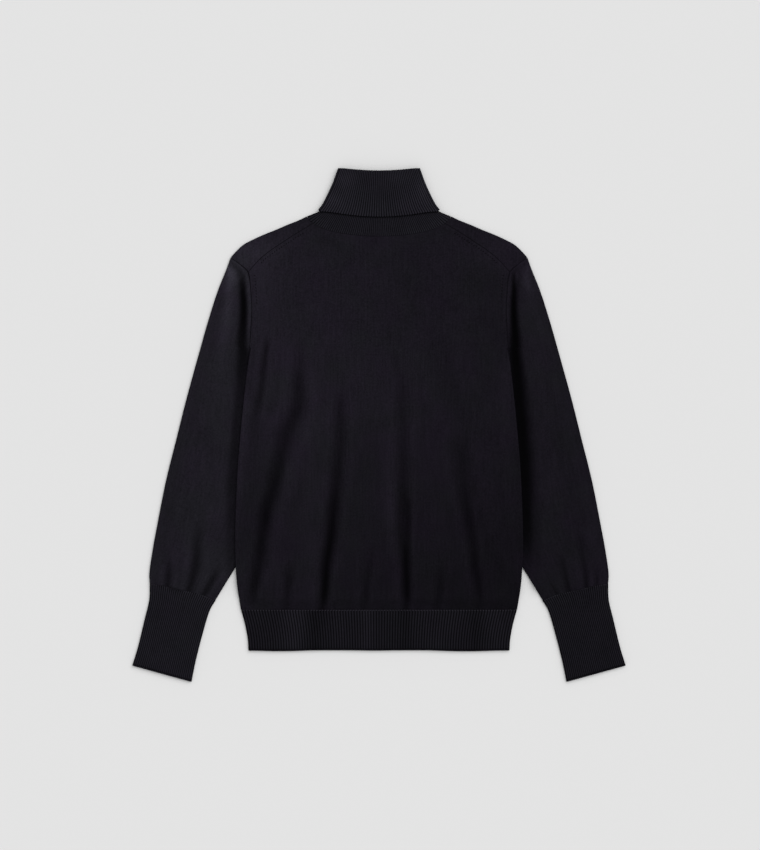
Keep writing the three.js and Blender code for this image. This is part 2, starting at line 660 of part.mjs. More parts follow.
// The hem is a ribbed band round the waist
function hemRib() {
  const edge = tableLine(hemEdge, 'y', 'half');
  const lowerPlaces = shares(hemLowerSteps);
  const columns = ribColumns(ribs.hem, lowerPlaces.length);
  const rings = [hemSeamY - hemGap, hemMiddleY, hemEndY].map(y => {
    const half = edge(y) - ribKnit / 2 - foldReach;
    const layer = (places, z) => places.map(along => point(lerp(-half, half, along), y, z));
    const [upper, lower] = [layer(columns.places, ribHigh), layer(lowerPlaces, ribLow)];
    return flatRing(upper, lower, bearing(180), bearing(0), foldReach);
  });
  return ribbedWall(rings, columns.raised, columns.kept);
}

// One ring of the collar at a level, with the heights of its back and front layers
function collarRing(level, reach, columns, lowerPlaces, backZ, frontZ) {
  const lines = levelLines(level, reach);
  const upper = columns.places.map(along => {
    const share = lerp(-1, 1, along);
    const [x, y] = [share * lines.half, lines.backY(share)];
    return point(x, y, backZ(x, y));
  });
  const lower = lowerPlaces.map(share => {
    const [x, y] = [share * lines.half, lines.frontY(share)];
    return point(x, y, frontZ(x, y));
  });
  return flatRing(upper, lower, bearing(level.turn, -1), bearing(level.turn), reach);
}

const collarFront = [...frontNeckShares.slice(1).reverse().map(share => -share), ...frontNeckShares];

// The stand is linked to the neckline and rises inside the turnover to the fold at the top
function standRing(level, columns) {
  const backZ = (x, y) => ribHigh + neckLift(x, y + liftAhead);
  return collarRing(level, foldReach, columns, collarFront, backZ, (x, y) => ribLow + neckLift(x, y));
}

function collarStand() {
  const columns = ribColumns(ribs.stand, collarFront.length);
  const rings = standLevels.map(level => standRing(level, columns));
  return ribbedWall(rings, columns.raised, columns.kept);
}

// The turnover starts round the top fold and hangs down outside the stand
function collarTurnover() {
  const columns = ribColumns(ribs.turnover, collarFront.length);
  const outside = turnoverLevels.map(level => {
    return collarRing(level, turnoverReach, columns, collarFront, () => turnoverHigh, () => ribLow);
  });
  const inside = standRing(standLevels.at(-1), columns);
  const start = inside.map(p => p.clone().add(point(0, turnoverGap, 0)));
  const round = turnSteps.map(angle => {
    const turn = THREE.MathUtils.degToRad(angle);
    const across = (1 - Math.cos(turn)) / 2;
    return inside.map((p, k) => {
      const place = p.clone().add(point(0, turnRadius, 0)).lerp(outside[0][k], across);
      place.y += turnRadius * Math.sin(turn);
      return place;
    });
  });
  return ribbedWall([start, ...round, ...outside], columns.raised, columns.kept);
}

const sweater = new THREE.Group();
sweater.add(
  named('front_panel', frontPanel(), 0x1a171e),
  named('back_panel', backPanel(), 0x1a171e),
  named('sleeve_left', sleeve(-1, leftFurrow, leftGathers), 0x1d1b20),
  named('sleeve_right', sleeve(1, rightFurrow, rightGathers), 0x1d1b20),
  named('cuff_left', cuff(-1), 0x19181c),
  named('cuff_right', cuff(1), 0x19181c),
  named('hem_rib', hemRib(), 0x141318),
  named('collar_stand', collarStand(), 0x18171d),
  named('collar_turnover', collarTurnover(), 0x1a191e),
);

export default sweater;
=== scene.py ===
import math

import bpy
import numpy as np
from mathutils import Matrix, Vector


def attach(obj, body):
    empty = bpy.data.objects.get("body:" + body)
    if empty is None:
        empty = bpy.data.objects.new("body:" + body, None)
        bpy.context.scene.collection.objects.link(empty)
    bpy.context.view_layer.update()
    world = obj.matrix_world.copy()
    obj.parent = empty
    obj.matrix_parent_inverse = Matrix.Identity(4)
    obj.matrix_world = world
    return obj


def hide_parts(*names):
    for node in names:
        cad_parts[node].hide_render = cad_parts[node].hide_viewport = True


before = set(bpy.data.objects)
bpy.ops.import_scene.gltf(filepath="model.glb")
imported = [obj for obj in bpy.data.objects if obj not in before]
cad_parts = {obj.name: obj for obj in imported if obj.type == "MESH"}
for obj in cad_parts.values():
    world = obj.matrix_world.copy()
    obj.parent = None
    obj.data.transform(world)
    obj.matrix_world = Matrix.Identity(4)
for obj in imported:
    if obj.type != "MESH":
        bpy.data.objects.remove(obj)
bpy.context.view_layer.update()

# A fine-gauge turtleneck laid flat with its back up. Lengths are in millimetres until a mesh is made.
mm = 0.001
print("frame loaded with", len(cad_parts), "solids")


# Camera, light and floor; the floor's sizes are in metres
photoView = {"lens": 100, "sensor": 36, "seenHeight": 1275, "aimX": 1.5, "aimY": 0, "clothHeight": 6}
studio = {"sunStrength": 1.55, "sunSpread": 62, "sunAzimuth": 48, "sunElevation": 50, "sky": 0.60,
          "floorColour": 0.79, "floorSize": 40, "floorDrop": 0.0002}


def placeCamera():
    data = bpy.data.cameras.new("photoCamera")
    data.lens = photoView["lens"]
    data.sensor_fit = "VERTICAL"
    data.sensor_height = photoView["sensor"]
    camera = bpy.data.objects.new("photoCamera", data)
    distance = photoView["seenHeight"] * photoView["lens"] / photoView["sensor"]
    height = photoView["clothHeight"] + distance
    camera.location = (photoView["aimX"] * mm, photoView["aimY"] * mm, height * mm)
    bpy.context.scene.collection.objects.link(camera)
    bpy.context.scene.camera = camera


def placeLights():
    data = bpy.data.lights.new("softSun", "SUN")
    data.energy = studio["sunStrength"]
    data.angle = math.radians(studio["sunSpread"])
    sun = bpy.data.objects.new("softSun", data)
    turn, rise = math.radians(studio["sunAzimuth"]), math.radians(studio["sunElevation"])
    towards = Vector((math.cos(rise) * math.sin(turn), math.cos(rise) * math.cos(turn), math.sin(rise)))
    sun.rotation_euler = towards.to_track_quat("Z", "Y").to_euler()
    bpy.context.scene.collection.objects.link(sun)
    world = bpy.data.worlds.new("studioWorld")
    world.use_nodes = True
    sky = world.node_tree.nodes["Background"]
    sky.inputs["Color"].default_value = (1, 1, 1, 1)
    sky.inputs["Strength"].default_value = studio["sky"]
    bpy.context.scene.world = world
    bpy.context.scene.view_settings.view_transform = "Standard"


def placeFloor():
    half = studio["floorSize"] / 2
    low = -studio["floorDrop"]
    corners = [(-half, -half, low), (half, -half, low), (half, half, low), (-half, half, low)]
    mesh = bpy.data.meshes.new("floor")
    mesh.from_pydata(corners, [], [(0, 1, 2, 3)])
    floor = bpy.data.objects.new("floor", mesh)
    bpy.context.scene.collection.objects.link(floor)
    material = bpy.data.materials.new("paleFloor")
    material.use_nodes = True
    shader = material.node_tree.nodes["Principled BSDF"]
    grey = studio["floorColour"]
    shader.inputs["Base Color"].default_value = (grey, grey, grey, 1)
    shader.inputs["Roughness"].default_value = 1
    shader.inputs["Specular IOR Level"].default_value = 0
    mesh.materials.append(material)


placeCamera()
placeLights()
placeFloor()
print("camera, light and floor placed")


def table(columns, rows):
    return [dict(zip(columns.split(), row)) for row in rows]


# The cloth's own sizes, and the heights of the middle of each layer
cloth = {"jersey": 1.5, "ribKnit": 1.6, "seamGap": 0.3, "armholeGap": 0.5, "layerGap": 0.4, "foldReach": 1,
         "underarmY": 116, "hemSeamY": -277.5, "hemEndY": -338.5, "gatherY": -250}
jerseyLow = cloth["jersey"] / 2
jerseyHigh = jerseyLow + cloth["jersey"] + cloth["layerGap"]
ribLow = cloth["ribKnit"] / 2
ribHigh = ribLow + cloth["ribKnit"] + cloth["layerGap"]
overSleeve = 2 * (cloth["jersey"] + cloth["layerGap"])
overTurnover = cloth["ribKnit"] + cloth["layerGap"]
solidRelief = 0.5
turnoverHigh = ribHigh + overTurnover + solidRelief + cloth["layerGap"] + cloth["ribKnit"]
sideInset = cloth["jersey"] / 2 + cloth["foldReach"]

# The garment's lines on its right half, seen from above
bodyEdge = table("y half", [
    (-277.5, 207.4), (-262, 210), (-247, 212.3), (-217, 215), (-172, 216.3), (-76, 213), (4, 206.5),
    (60, 200.7), (88, 197.2), (104, 194.8), (116, 193),
])
hemEdge = table("y half", [
    (-338.5, 196), (-322, 197), (-300, 201), (-277.5, 207),
])
armholeLine = table("x y", [
    (223, 251), (208, 240.5), (196.5, 229.5), (192.6, 203), (191, 166), (194.5, 116),
])
shoulderOutline = table("x y", [
    (108.4, 313.2), (119, 308), (136.5, 301), (155, 293), (172.5, 286), (190, 278), (203, 271),
    (212.5, 262.5), (223, 251),
])
shoulderSeam = table("x y", [
    (99, 303), (133, 282), (174.5, 253), (196.5, 229.5),
])
sleeveOutline = table("x y", [
    (223, 251), (229.5, 233), (241.5, 203), (256, 158), (273, 98), (289.5, 38), (304.5, -22),
    (319.5, -82), (331.5, -142), (341, -194), (345, -225), (344.3, -237.5),
])
sleeveInside = table("x y", [
    (194.8, 115.7), (195.7, 106), (197, 96), (197.5, 87), (190, 72), (178, 53), (166, 20), (162, -38),
    (171, -112), (192, -172), (214.5, -212), (231, -239), (245.5, -263),
])
cuffSeam = table("x y", [
    (344.3, -237.5), (320.5, -241.5), (288.5, -249), (264.5, -255), (245.5, -263),
])
cuffOutline = table("x y", [
    (344.3, -238), (345, -262), (352, -292), (363, -337), (370.5, -361),
])
cuffInside = table("x y", [
    (245.4, -263.6), (253.5, -277), (266, -318), (276, -358), (281.5, -385.6),
])
# Levels of the collar, from the neckline up and from the top fold down: where the layers turn at the side,
# which way they turn there, and where the back and the front layer lie on the centre line
standLevels = table("row x y turn back bow front", [
    (0, 107.5, 312.6, 62, 283.9, 16, 250.3), (1, 88.9, 320.4, 48, 311, 11, 276.5),
    (2, 84.5, 326, 30, 317.5, 10, 283), (3, 72.8, 346, 22, 339, 8, 305),
    (4, 59.7, 382, 12, 378.2, 4.4, 344.2),
])
turnoverLevels = table("row x y turn back bow front", [
    (0, 61.3, 383.7, 12, 379.7, 4.4, 345.8), (1, 70.1, 360, 22, 355, 6, 321),
    (2, 82.6, 334, 34, 326, 9.5, 292), (3, 90.6, 322.6, 40, 313, 11, 279),
])
# The collar's top turn, the powers that bend its lines, and how far ahead the cloth below starts to lift
collar = {"turnRadius": 1.25, "frontPower": 2.4, "hookPower": 8, "edgePower": 2.2, "turnoverReach": 3,
          "turnoverGap": 0.45, "liftAhead": 18}


def lerp(a, b, t):
    return a + (b - a) * t


def smoothstep(value, low, high):
    t = np.clip((value - low) / (high - low), 0, 1)
    return t * t * (3 - 2 * t)


def tableLine(entries, rising, column):
    # a smooth line through a table's rows, as a function of the rising column
    rows = sorted(entries, key=lambda row: row[rising])
    xs = np.array([row[rising] for row in rows], float)
    ys = np.array([row[column] for row in rows], float)
    last = len(xs) - 1
    before = np.maximum(np.arange(last + 1) - 1, 0)
    after = np.minimum(np.arange(last + 1) + 1, last)
    slopes = (ys[after] - ys[before]) / (xs[after] - xs[before])

    def line(place):
        k = np.clip(np.searchsorted(xs, place) - 1, 0, last - 1)
        span = xs[k + 1] - xs[k]
        t = np.clip((place - xs[k]) / span, 0, 1)
        bend = span * t * (1 - t) * ((1 - t) * slopes[k] - t * slopes[k + 1])
        return lerp(ys[k], ys[k + 1], t * t * (3 - 2 * t)) + bend

    return line


class Path:
    # a smooth path through a table's rows, walked by share of its length
    wayReach = 0.002

    def __init__(self, entries, steps=60):
        knots = [np.array([row["x"], row["y"]], float) for row in entries]
        ends = [2 * knots[0] - knots[1], *knots, 2 * knots[-1] - knots[-2]]
        t = np.linspace(0, 1, steps, endpoint=False)[:, None]
        stretches = []
        for a, b, c, d in zip(ends, ends[1:], ends[2:], ends[3:]):
            near, middle, far = [math.sqrt(np.linalg.norm(q - p)) for p, q in ((a, b), (b, c), (c, d))]
            leave = ((b - a) / near - (c - a) / (near + middle) + (c - b) / middle) * middle
            reach = ((c - b) / middle - (d - b) / (middle + far) + (d - c) / far) * middle
            stretches.append(b * (2 * t**3 - 3 * t**2 + 1) + c * (3 * t**2 - 2 * t**3)
                             + leave * (t**3 - 2 * t**2 + t) + reach * (t**3 - t**2))
        self.places = np.vstack([*stretches, knots[-1][None, :]])
        spans = np.linalg.norm(np.diff(self.places, axis=0), axis=1)
        self.lengths = np.concatenate([[0], np.cumsum(spans)])
        self.length = self.lengths[-1]
        self.knotShares = self.lengths[::steps] / self.length

    def at(self, share):
        where = np.asarray(share) * self.length
        return np.stack([np.interp(where, self.lengths, self.places[:, k]) for k in (0, 1)], axis=-1)

    def way(self, share):
        share = np.asarray(share, float)
        low, high = [np.clip(share + reach, 0, 1) for reach in (-self.wayReach, self.wayReach)]
        step = self.at(high) - self.at(low)
        return step / np.linalg.norm(step, axis=-1, keepdims=True)

    def beside(self, share, distance):
        # a distance to the left of the path's direction
        way = self.way(share)
        return self.at(share) + np.stack([-way[..., 1], way[..., 0]], axis=-1) * distance


armhole = Path(armholeLine)
shoulder = Path(shoulderOutline)
seamOfShoulder = Path(shoulderSeam)
halfAt = tableLine(bodyEdge, "y", "half")
hemHalfAt = tableLine(hemEdge, "y", "half")
tuckedAt = tableLine(sleeveInside, "y", "x")
armholeAt = tableLine(armholeLine, "y", "x")
outlineAt = tableLine(sleeveOutline, "y", "x")


# Folds of the back panel, each followed down from its upper end: x of its middle, how wide it is
# to each side, how much of the pillow's height it takes away and how much painted shade lies in it
foldColumns = "y x left right deep dark"
bodyFolds = {
    "outerLeft": table(foldColumns, [
        (84, -119, 10, 10, 0, 0), (30, -121, 12, 11, 0.3, 0.40), (-10, -137, 15, 12, 0.45, 0.40),
        (-50, -148, 15, 12, 0.7, 0.42), (-90, -159, 14, 12, 0.8, 0.46), (-130, -170, 12, 11, 0.9, 0.54),
        (-170, -176, 11, 11, 0.95, 0.50), (-210, -182, 10, 9, 0.95, 0.44), (-245, -188, 8, 7, 0.7, 0.4),
        (-270, -191, 6, 6, 0.3, 0.1),
    ]),
    "innerLeft": table(foldColumns, [
        (56, -57, 7, 7, 0, 0), (30, -59, 7, 8, 0.15, 0.28), (-10, -60, 8, 9, 0.4, 0.25),
        (-50, -62, 9, 9, 0.7, 0.30), (-90, -66, 9, 9, 0.85, 0.38), (-131, -70, 9, 9, 0.97, 0.54),
        (-170, -73, 9, 8, 1, 0.60), (-205, -78, 9, 7, 1, 0.64), (-250, -82, 8, 6, 1, 0.64),
        (-277, -85, 7, 5, 0.8, 0.42),
    ]),
    "centre": table(foldColumns, [
        (92, 33, 8, 8, 0, 0), (60, 33, 8, 8, 0.1, 0.15), (30, 33, 8, 9, 0.3, 0.18),
        (-10, 34, 8, 9, 0.45, 0.18), (-70, 34, 9, 9, 0.65, 0.22), (-121, 35, 9, 8, 0.85, 0.34),
        (-170, 36, 9, 7, 0.9, 0.38), (-195, 39, 8, 6, 0.95, 0.52), (-245, 41, 7, 6, 1, 0.56),
        (-277, 41, 6, 5, 0.85, 0.34),
    ]),
    "centreFork": table(foldColumns, [
        (-106, 43, 3, 3, 0, 0), (-120, 43, 3.5, 4, 0.6, 0.25), (-176, 43.5, 4, 4, 0.7, 0.25),
        (-205, 42, 5, 4, 0.3, 0.1), (-225, 41, 5, 4, 0, 0),
    ]),
    "outerRight": table(foldColumns, [
        (-5, 113, 8, 10, 0, 0), (-50, 121, 10, 12, 0.3, 0.18), (-90, 123, 9, 8, 0.5, 0.14),
        (-131, 131, 8, 7, 0.75, 0.32), (-187, 140, 7.5, 6.5, 0.9, 0.24), (-210, 142, 7, 6, 0.9, 0.32),
        (-240, 147, 7, 6, 0.9, 0.2), (-277, 150, 6, 5, 0.6, 0.2),
    ]),
    "smallCentre": table(foldColumns, [
        (-180, -14, 7, 7, 0, 0), (-215, -18, 7, 6, 0.35, 0.14), (-262, -21, 6, 5, 0.45, 0.22),
        (-277, -22, 6, 5, 0.3, 0.16),
    ]),
    "smallRight": table(foldColumns, [
        (-195, 93, 7, 7, 0, 0), (-230, 90, 6, 6, 0.42, 0.14), (-277, 87, 6, 5, 0.4, 0.22),
    ]),
    "smallLeft": table(foldColumns, [
        (-200, -135, 7, 7, 0, 0), (-228, -136, 7, 6, 0.4, 0.28), (-250, -138, 6, 6, 0.4, 0.28),
        (-277, -141, 6, 6, 0.2, 0.16),
    ]),
}
# Shallow creases that lie on the flatter parts of the body, with a depth and painted shade of their own
bodyCreases = {
    "underLeftArm": table(foldColumns, [
        (136, -166, 4, 4, 0, 0), (110, -170, 5, 4, 1.4, 0.42), (70, -175, 5, 5, 1.5, 0.34),
        (30, -181, 6, 5, 0.9, 0.26), (-5, -187, 6, 6, 0, 0),
    ]),
    "upperLeft": table(foldColumns, [
        (140, -118, 8, 8, 0, 0), (105, -119, 8, 8, 0.5, 0.14), (65, -122, 8, 8, 0.6, 0.24),
        (35, -121, 7, 7, 0, 0),
    ]),
    "leftFlank": table(foldColumns, [
        (20, -180, 10, 11, 0, 0), (-50, -182, 11, 10, 0.8, 0.14), (-150, -196, 9, 9, 0.5, 0.1),
        (-200, -201, 8, 8, 0, 0),
    ]),
    "upperRight": table(foldColumns, [
        (150, 92, 16, 14, 0, 0), (90, 100, 16, 14, 0.4, 0.1), (40, 112, 14, 12, 0.5, 0.12),
        (0, 114, 12, 12, 0, 0),
    ]),
    "rightFlank": table(foldColumns, [
        (40, 168, 12, 12, 0, 0), (-50, 172, 13, 11, 0.7, 0.05), (-150, 186, 12, 10, 0.8, 0.05),
        (-245, 196, 8, 7, 0, 0),
    ]),
}
# Broad patches of painted highlight (gain above 0) or painted shade
paintedLightSpots = table("x y wide tall gain", [
    (-188, 262, 42, 26, 0.55), (182, 262, 42, 26, 0.28), (-182, 195, 26, 55, 0.2), (-100, -15, 15, 75, 0.16),
    (-205, 10, 9, 90, 0.24), (-106, -150, 12, 80, 0.2), (18, -110, 11, 80, 0.18), (-120, 120, 60, 40, 0.05),
    (60, 190, 50, 60, -0.07), (172, -60, 20, 120, 0.08), (-138, -60, 9, 60, 0.1), (92, -150, 16, 60, 0.08),
    (-20, 60, 30, 60, 0.06), (0, -235, 60, 22, -0.1), (110, -225, 40, 24, -0.08), (192, 40, 8, 60, 0.12),
])
# Painted light and shade: over the body paler to the left and darker towards the hem, painted shade in the
# folds with painted highlights on the ridges beside them, and painted shade where the cloth turns down
paintedShading = {"middle": 0.92, "across": -0.0008, "lower": 0.26, "lowerSpan": (-230, 90), "depth": 1.25,
       "deepest": 0.93, "sharpness": 2.3, "ridge": 0.13, "ridgeGain": 3, "ridgeAt": 2.1, "ridgeWide": 0.7,
       "turned": 0.6, "turnedSpan": (-0.7, -0.2)}


def foldLines(folds):
    return [{column: tableLine(rows, "y", column) for column in foldColumns.split()[1:]}
            | {"low": min(row["y"] for row in rows), "high": max(row["y"] for row in rows)}
            for rows in folds.values()]


def foldPlace(line, x, y):
    # how far a place is from a fold's middle, in widths of its side, and whether the fold reaches it
    away = x - line["x"](y)
    wide = np.where(away < 0, line["left"](y), line["right"](y))
    return np.abs(away / wide), (y <= line["high"]) & (y >= line["low"] - 1)


def foldShare(line, x, y, sharpness):
    # how much of a fold is felt at a place, 1 at the bottom of a full one
    away, within = foldPlace(line, x, y)
    return within * line["deep"](y) * np.exp(-away ** sharpness)


def paintedFoldShading(lines, x, y):
    # painted shade darker in the folds, and a painted highlight a little paler on the ridges beside them
    tone = np.ones(len(x))
    for line in lines:
        away, within = foldPlace(line, x, y)
        bottom = np.minimum(line["dark"](y) * paintedShading["depth"], paintedShading["deepest"])
        bottom = bottom * np.exp(-away ** paintedShading["sharpness"])
        beside = np.exp(-((away - paintedShading["ridgeAt"]) / paintedShading["ridgeWide"]) ** 2)
        crest = paintedShading["ridge"] * np.minimum(line["dark"](y) * paintedShading["ridgeGain"], 1) * beside
        tone = tone * (1 - within * (bottom - crest))
    return tone


bodyFoldLines = foldLines(bodyFolds)
bodyCreaseLines = foldLines(bodyCreases)


# Where the panels lift over the sleeve and the turnover; a pair says where a change begins and ends
lift = {"underTurnover": (-22, -2), "besideNeck": (92, 108), "overSleeve": (-44, -18), "underarm": (96, 114)}
# The ridge beside each armhole, and the pillow of the lower back that its folds and creases take away
ridge = {"high": 4.2, "wide": 45, "begins": (118, 150), "ends": (222, 246)}
puff = {"high": 7.2, "begins": (-276.5, -258), "ends": (-30, 125), "edges": (3, 30), "foldSharpness": 1.7,
        "creaseSharpness": 2, "creaseEdges": 3}


def neckLift(x, y):
    free = turnoverLevels[-1]
    side = np.abs(x)
    freeEdge = free["front"] + (free["y"] - free["front"]) * (side / free["x"]) ** collar["edgePower"]
    covered = smoothstep(y - freeEdge, *lift["underTurnover"])
    return overTurnover * covered * (1 - smoothstep(side, *lift["besideNeck"]))


def sideLift(x, y):
    covering = smoothstep(np.abs(x) - tuckedAt(y), *lift["overSleeve"])
    return overSleeve * covering * (1 - smoothstep(y, *lift["underarm"]))


def armholeRidge(x, y):
    away = armholeAt(y) - np.abs(x)
    along = smoothstep(y, *ridge["begins"]) * (1 - smoothstep(y, *ridge["ends"])) * (y >= cloth["underarmY"])
    return ridge["high"] * along * (1 - smoothstep(away, 0, ridge["wide"]))


def unfolded(lines, x, y, take=1):
    # the share of a pillow's height that its folds leave
    kept = 1
    for line in lines:
        kept = kept * (1 - take * foldShare(line, x, y, puff["foldSharpness"]))
    return kept


def backPuff(x, y):
    length = smoothstep(y, *puff["begins"]) * (1 - smoothstep(y, *puff["ends"]))
    edges = smoothstep(halfAt(np.minimum(y, cloth["underarmY"])) - np.abs(x), *puff["edges"])
    sunk = sum(foldShare(line, x, y, puff["creaseSharpness"]) for line in bodyCreaseLines)
    raised = puff["high"] * length * edges * unfolded(bodyFoldLines, x, y)
    return raised - sunk * np.clip(edges * puff["creaseEdges"], 0, 1)


def frontHeight(x, y):
    return jerseyLow + sideLift(x, y)


def backHeight(x, y):
    lifted = jerseyHigh + sideLift(x, y) + neckLift(x, y + collar["liftAhead"])
    return lifted + armholeRidge(x, y) + backPuff(x, y)


def stripHeight(x, y):
    return jerseyHigh + armholeRidge(x, y)


# Meshes of thin cloth: the stops round a folded edge and the bend that is shaded sharp, in degrees
foldStops = (60, 30, 0, -30, -60)
sharpAngle = 60


def gridQuads(rows, columns, closed=False):
    r, c = np.meshgrid(np.arange(rows - 1), np.arange(columns if closed else columns - 1), indexing="ij")
    low, following = r * columns, (c + 1) % columns
    quads = np.stack([low + c, low + following, low + columns + following, low + columns + c], axis=-1)
    return quads.reshape(-1, 4)


def sheetNormals(points, quads):
    a, b, c, d = [points[quads[:, k]] for k in range(4)]
    facing = np.cross(c - a, d - b)
    normals = np.zeros_like(points)
    for k in range(4):
        np.add.at(normals, quads[:, k], facing)
    return normals / np.linalg.norm(normals, axis=1, keepdims=True)


def sheetArea(points, quads):
    # flat area of the cloth, in square metres
    a, b, c, d = [points[quads[:, k]] for k in range(4)]
    return float(np.linalg.norm(np.cross(c - a, d - b), axis=1).sum() / 2 * mm * mm)


def tubeUv(rings):
    # columns by the way round at the middle ring, rows by the way along, in metres
    count = len(rings)
    ring = np.vstack([rings[count // 2], rings[count // 2][:1]])
    around = np.concatenate([[0], np.cumsum(np.linalg.norm(np.diff(ring, axis=0), axis=1))])
    steps = np.linalg.norm(np.diff(rings, axis=0), axis=2).mean(axis=1)
    along = np.concatenate([[0], np.cumsum(steps)])
    u, v = np.meshgrid(around, along)
    return np.stack([u, v], axis=-1).reshape(-1, 2) * mm


def clothMesh(name, points, quads, thickness, uv, uvQuads, upAt, **shading):
    # closed shell round the middle surface; upAt is a point whose outer side faces up
    normals = sheetNormals(points, quads)
    if normals[upAt][2] < 0:
        quads, uvQuads, normals = quads[:, ::-1], uvQuads[:, ::-1], -normals
    count = len(points)
    vertices = np.vstack([points + normals * thickness / 2, points - normals * thickness / 2])
    starts, ends = quads.ravel(), np.roll(quads, -1, axis=1).ravel()
    uvStarts, uvEnds = uvQuads.ravel(), np.roll(uvQuads, -1, axis=1).ravel()
    free = ~np.isin(starts * count + ends, ends * count + starts)
    p, q, pUv, qUv = starts[free], ends[free], uvStarts[free], uvEnds[free]
    rim = np.stack([q, p, p + count, q + count], axis=-1)
    faces = np.vstack([quads, quads[:, ::-1] + count, rim])
    cornerUv = uv[np.vstack([uvQuads, uvQuads[:, ::-1], np.stack([qUv, pUv, pUv, qUv], axis=-1)])]
    mesh = bpy.data.meshes.new(name)
    mesh.from_pydata(vertices * mm, [], faces.tolist())
    layer = mesh.uv_layers.new(name="knit")
    layer.data.foreach_set("uv", cornerUv.reshape(-1).astype(np.float32))
    for label, values in shading.items():
        # ribs are raised only on the outer side
        attribute = mesh.attributes.new(label, "FLOAT", "POINT")
        both = [values, np.zeros(count) if label == "ribMask" else values]
        attribute.data.foreach_set("value", np.concatenate(both).astype(np.float32))
    mesh.shade_smooth()
    mesh.set_sharp_from_angle(angle=math.radians(sharpAngle))
    mesh.validate()
    piece = bpy.data.objects.new(name, mesh)
    bpy.context.scene.collection.objects.link(piece)
    return piece


def foldRound(near, far, out):
    # the cloth's turn from a place to the one above or below it
    middle = (near + far) / 2
    turns = [math.radians(stop) for stop in foldStops]
    return [middle + out * math.cos(turn) + (near - middle) * math.sin(turn) for turn in turns]


def flatRing(upper, lower, startWay, endWay, reach):
    # the upper layer across, a fold, the lower layer back again and the other fold
    back = lower[::-1]
    return np.vstack([upper, *foldRound(upper[-1], back[0], endWay * reach),
                      back, *foldRound(back[-1], upper[0], startWay * reach)])


def withHeight(plan, height):
    return np.column_stack([plan, np.broadcast_to(height, len(plan))])


def bearing(degrees, side=1):
    turn = math.radians(degrees)
    return np.array([side * math.cos(turn), math.sin(turn), 0])


# Node trees
def newTree(name, inputs):
    tree = bpy.data.node_groups.new(name, "GeometryNodeTree")
    tree.interface.new_socket("Geometry", in_out="INPUT", socket_type="NodeSocketGeometry")
    for label, value in inputs.items():
        kind = "NodeSocketMaterial" if value is None else "NodeSocketFloat"
        socket = tree.interface.new_socket(label, in_out="INPUT", socket_type=kind)
        if value is not None:
            socket.default_value = value
    tree.interface.new_socket("Geometry", in_out="OUTPUT", socket_type="NodeSocketGeometry")
    return tree, tree.nodes.new("NodeGroupInput"), tree.nodes.new("NodeGroupOutput")


def addNode(tree, kind, settings=None, **inputs):
    node = tree.nodes.new(kind)
    for label, value in (settings or {}).items():
        setattr(node, label, value)
    for label, value in inputs.items():
        fill(tree, node.inputs[label.replace("_", " ")], value)
    return node


def fill(tree, socket, value):
    if isinstance(value, bpy.types.NodeSocket):
        tree.links.new(value, socket)
    else:
        socket.default_value = value


def calc(tree, operation, *values):
    node = tree.nodes.new("ShaderNodeMath")
    node.operation = operation
    for socket, value in zip(node.inputs, values):
        fill(tree, socket, value)
    return node.outputs[0]


def finishTree(tree, given, result, geometry):
    whole = addNode(tree, "GeometryNodeRealizeInstances", Geometry=geometry)
    dressed = addNode(tree, "GeometryNodeSetMaterial", Geometry=whole.outputs[0],
                      Material=given.outputs["Material"])
    tree.links.new(dressed.outputs[0], result.inputs[0])


def runTree(piece, tree, values):
    # runs the tree on the piece and keeps the result as its plain mesh
    modifier = piece.modifiers.new(tree.name, "NODES")
    modifier.node_group = tree
    for socket in tree.interface.items_tree:
        if socket.in_out == "INPUT" and socket.name in values:
            modifier[socket.identifier] = values[socket.name]
    graph = bpy.context.evaluated_depsgraph_get()
    mesh = bpy.data.meshes.new_from_object(piece.evaluated_get(graph), preserve_all_data_layers=True,
                                           depsgraph=graph)
    piece.modifiers.remove(modifier)
    mesh.name = piece.name
    piece.data = mesh
    return piece


def makeRibTree():
    # raises rounded ribs with narrow grooves between them along the cloth's own rib numbers
    tree, given, result = newTree("raiseRibs", {"Height": 0.001, "Roundness": 0.6, "Material": None})
    phase = addNode(tree, "GeometryNodeInputNamedAttribute", {"data_type": "FLOAT"}, Name="ribPhase")
    mask = addNode(tree, "GeometryNodeInputNamedAttribute", {"data_type": "FLOAT"}, Name="ribMask")
    wave = calc(tree, "ABSOLUTE", calc(tree, "SINE", calc(tree, "MULTIPLY", phase.outputs[0], math.pi)))
    crest = calc(tree, "POWER", wave, given.outputs["Roundness"])
    raised = calc(tree, "MULTIPLY", calc(tree, "MULTIPLY", crest, mask.outputs[0]), given.outputs["Height"])
    normal = addNode(tree, "GeometryNodeInputNormal")
    offset = tree.nodes.new("ShaderNodeVectorMath")
    offset.operation = "SCALE"
    tree.links.new(normal.outputs[0], offset.inputs[0])
    tree.links.new(raised, offset.inputs["Scale"])
    moved = addNode(tree, "GeometryNodeSetPosition", Geometry=given.outputs["Geometry"],
                    Offset=offset.outputs[0])
    # painted shade: the deeper a place lies between two ribs, the darker the material colours it
    groove = calc(tree, "MULTIPLY", calc(tree, "SUBTRACT", 1.0, crest), mask.outputs[0])
    kept = addNode(tree, "GeometryNodeStoreNamedAttribute", {"data_type": "FLOAT", "domain": "POINT"},
                   Geometry=moved.outputs[0], Name="groove", Value=groove)
    finishTree(tree, given, result, kept.outputs[0])
    return tree


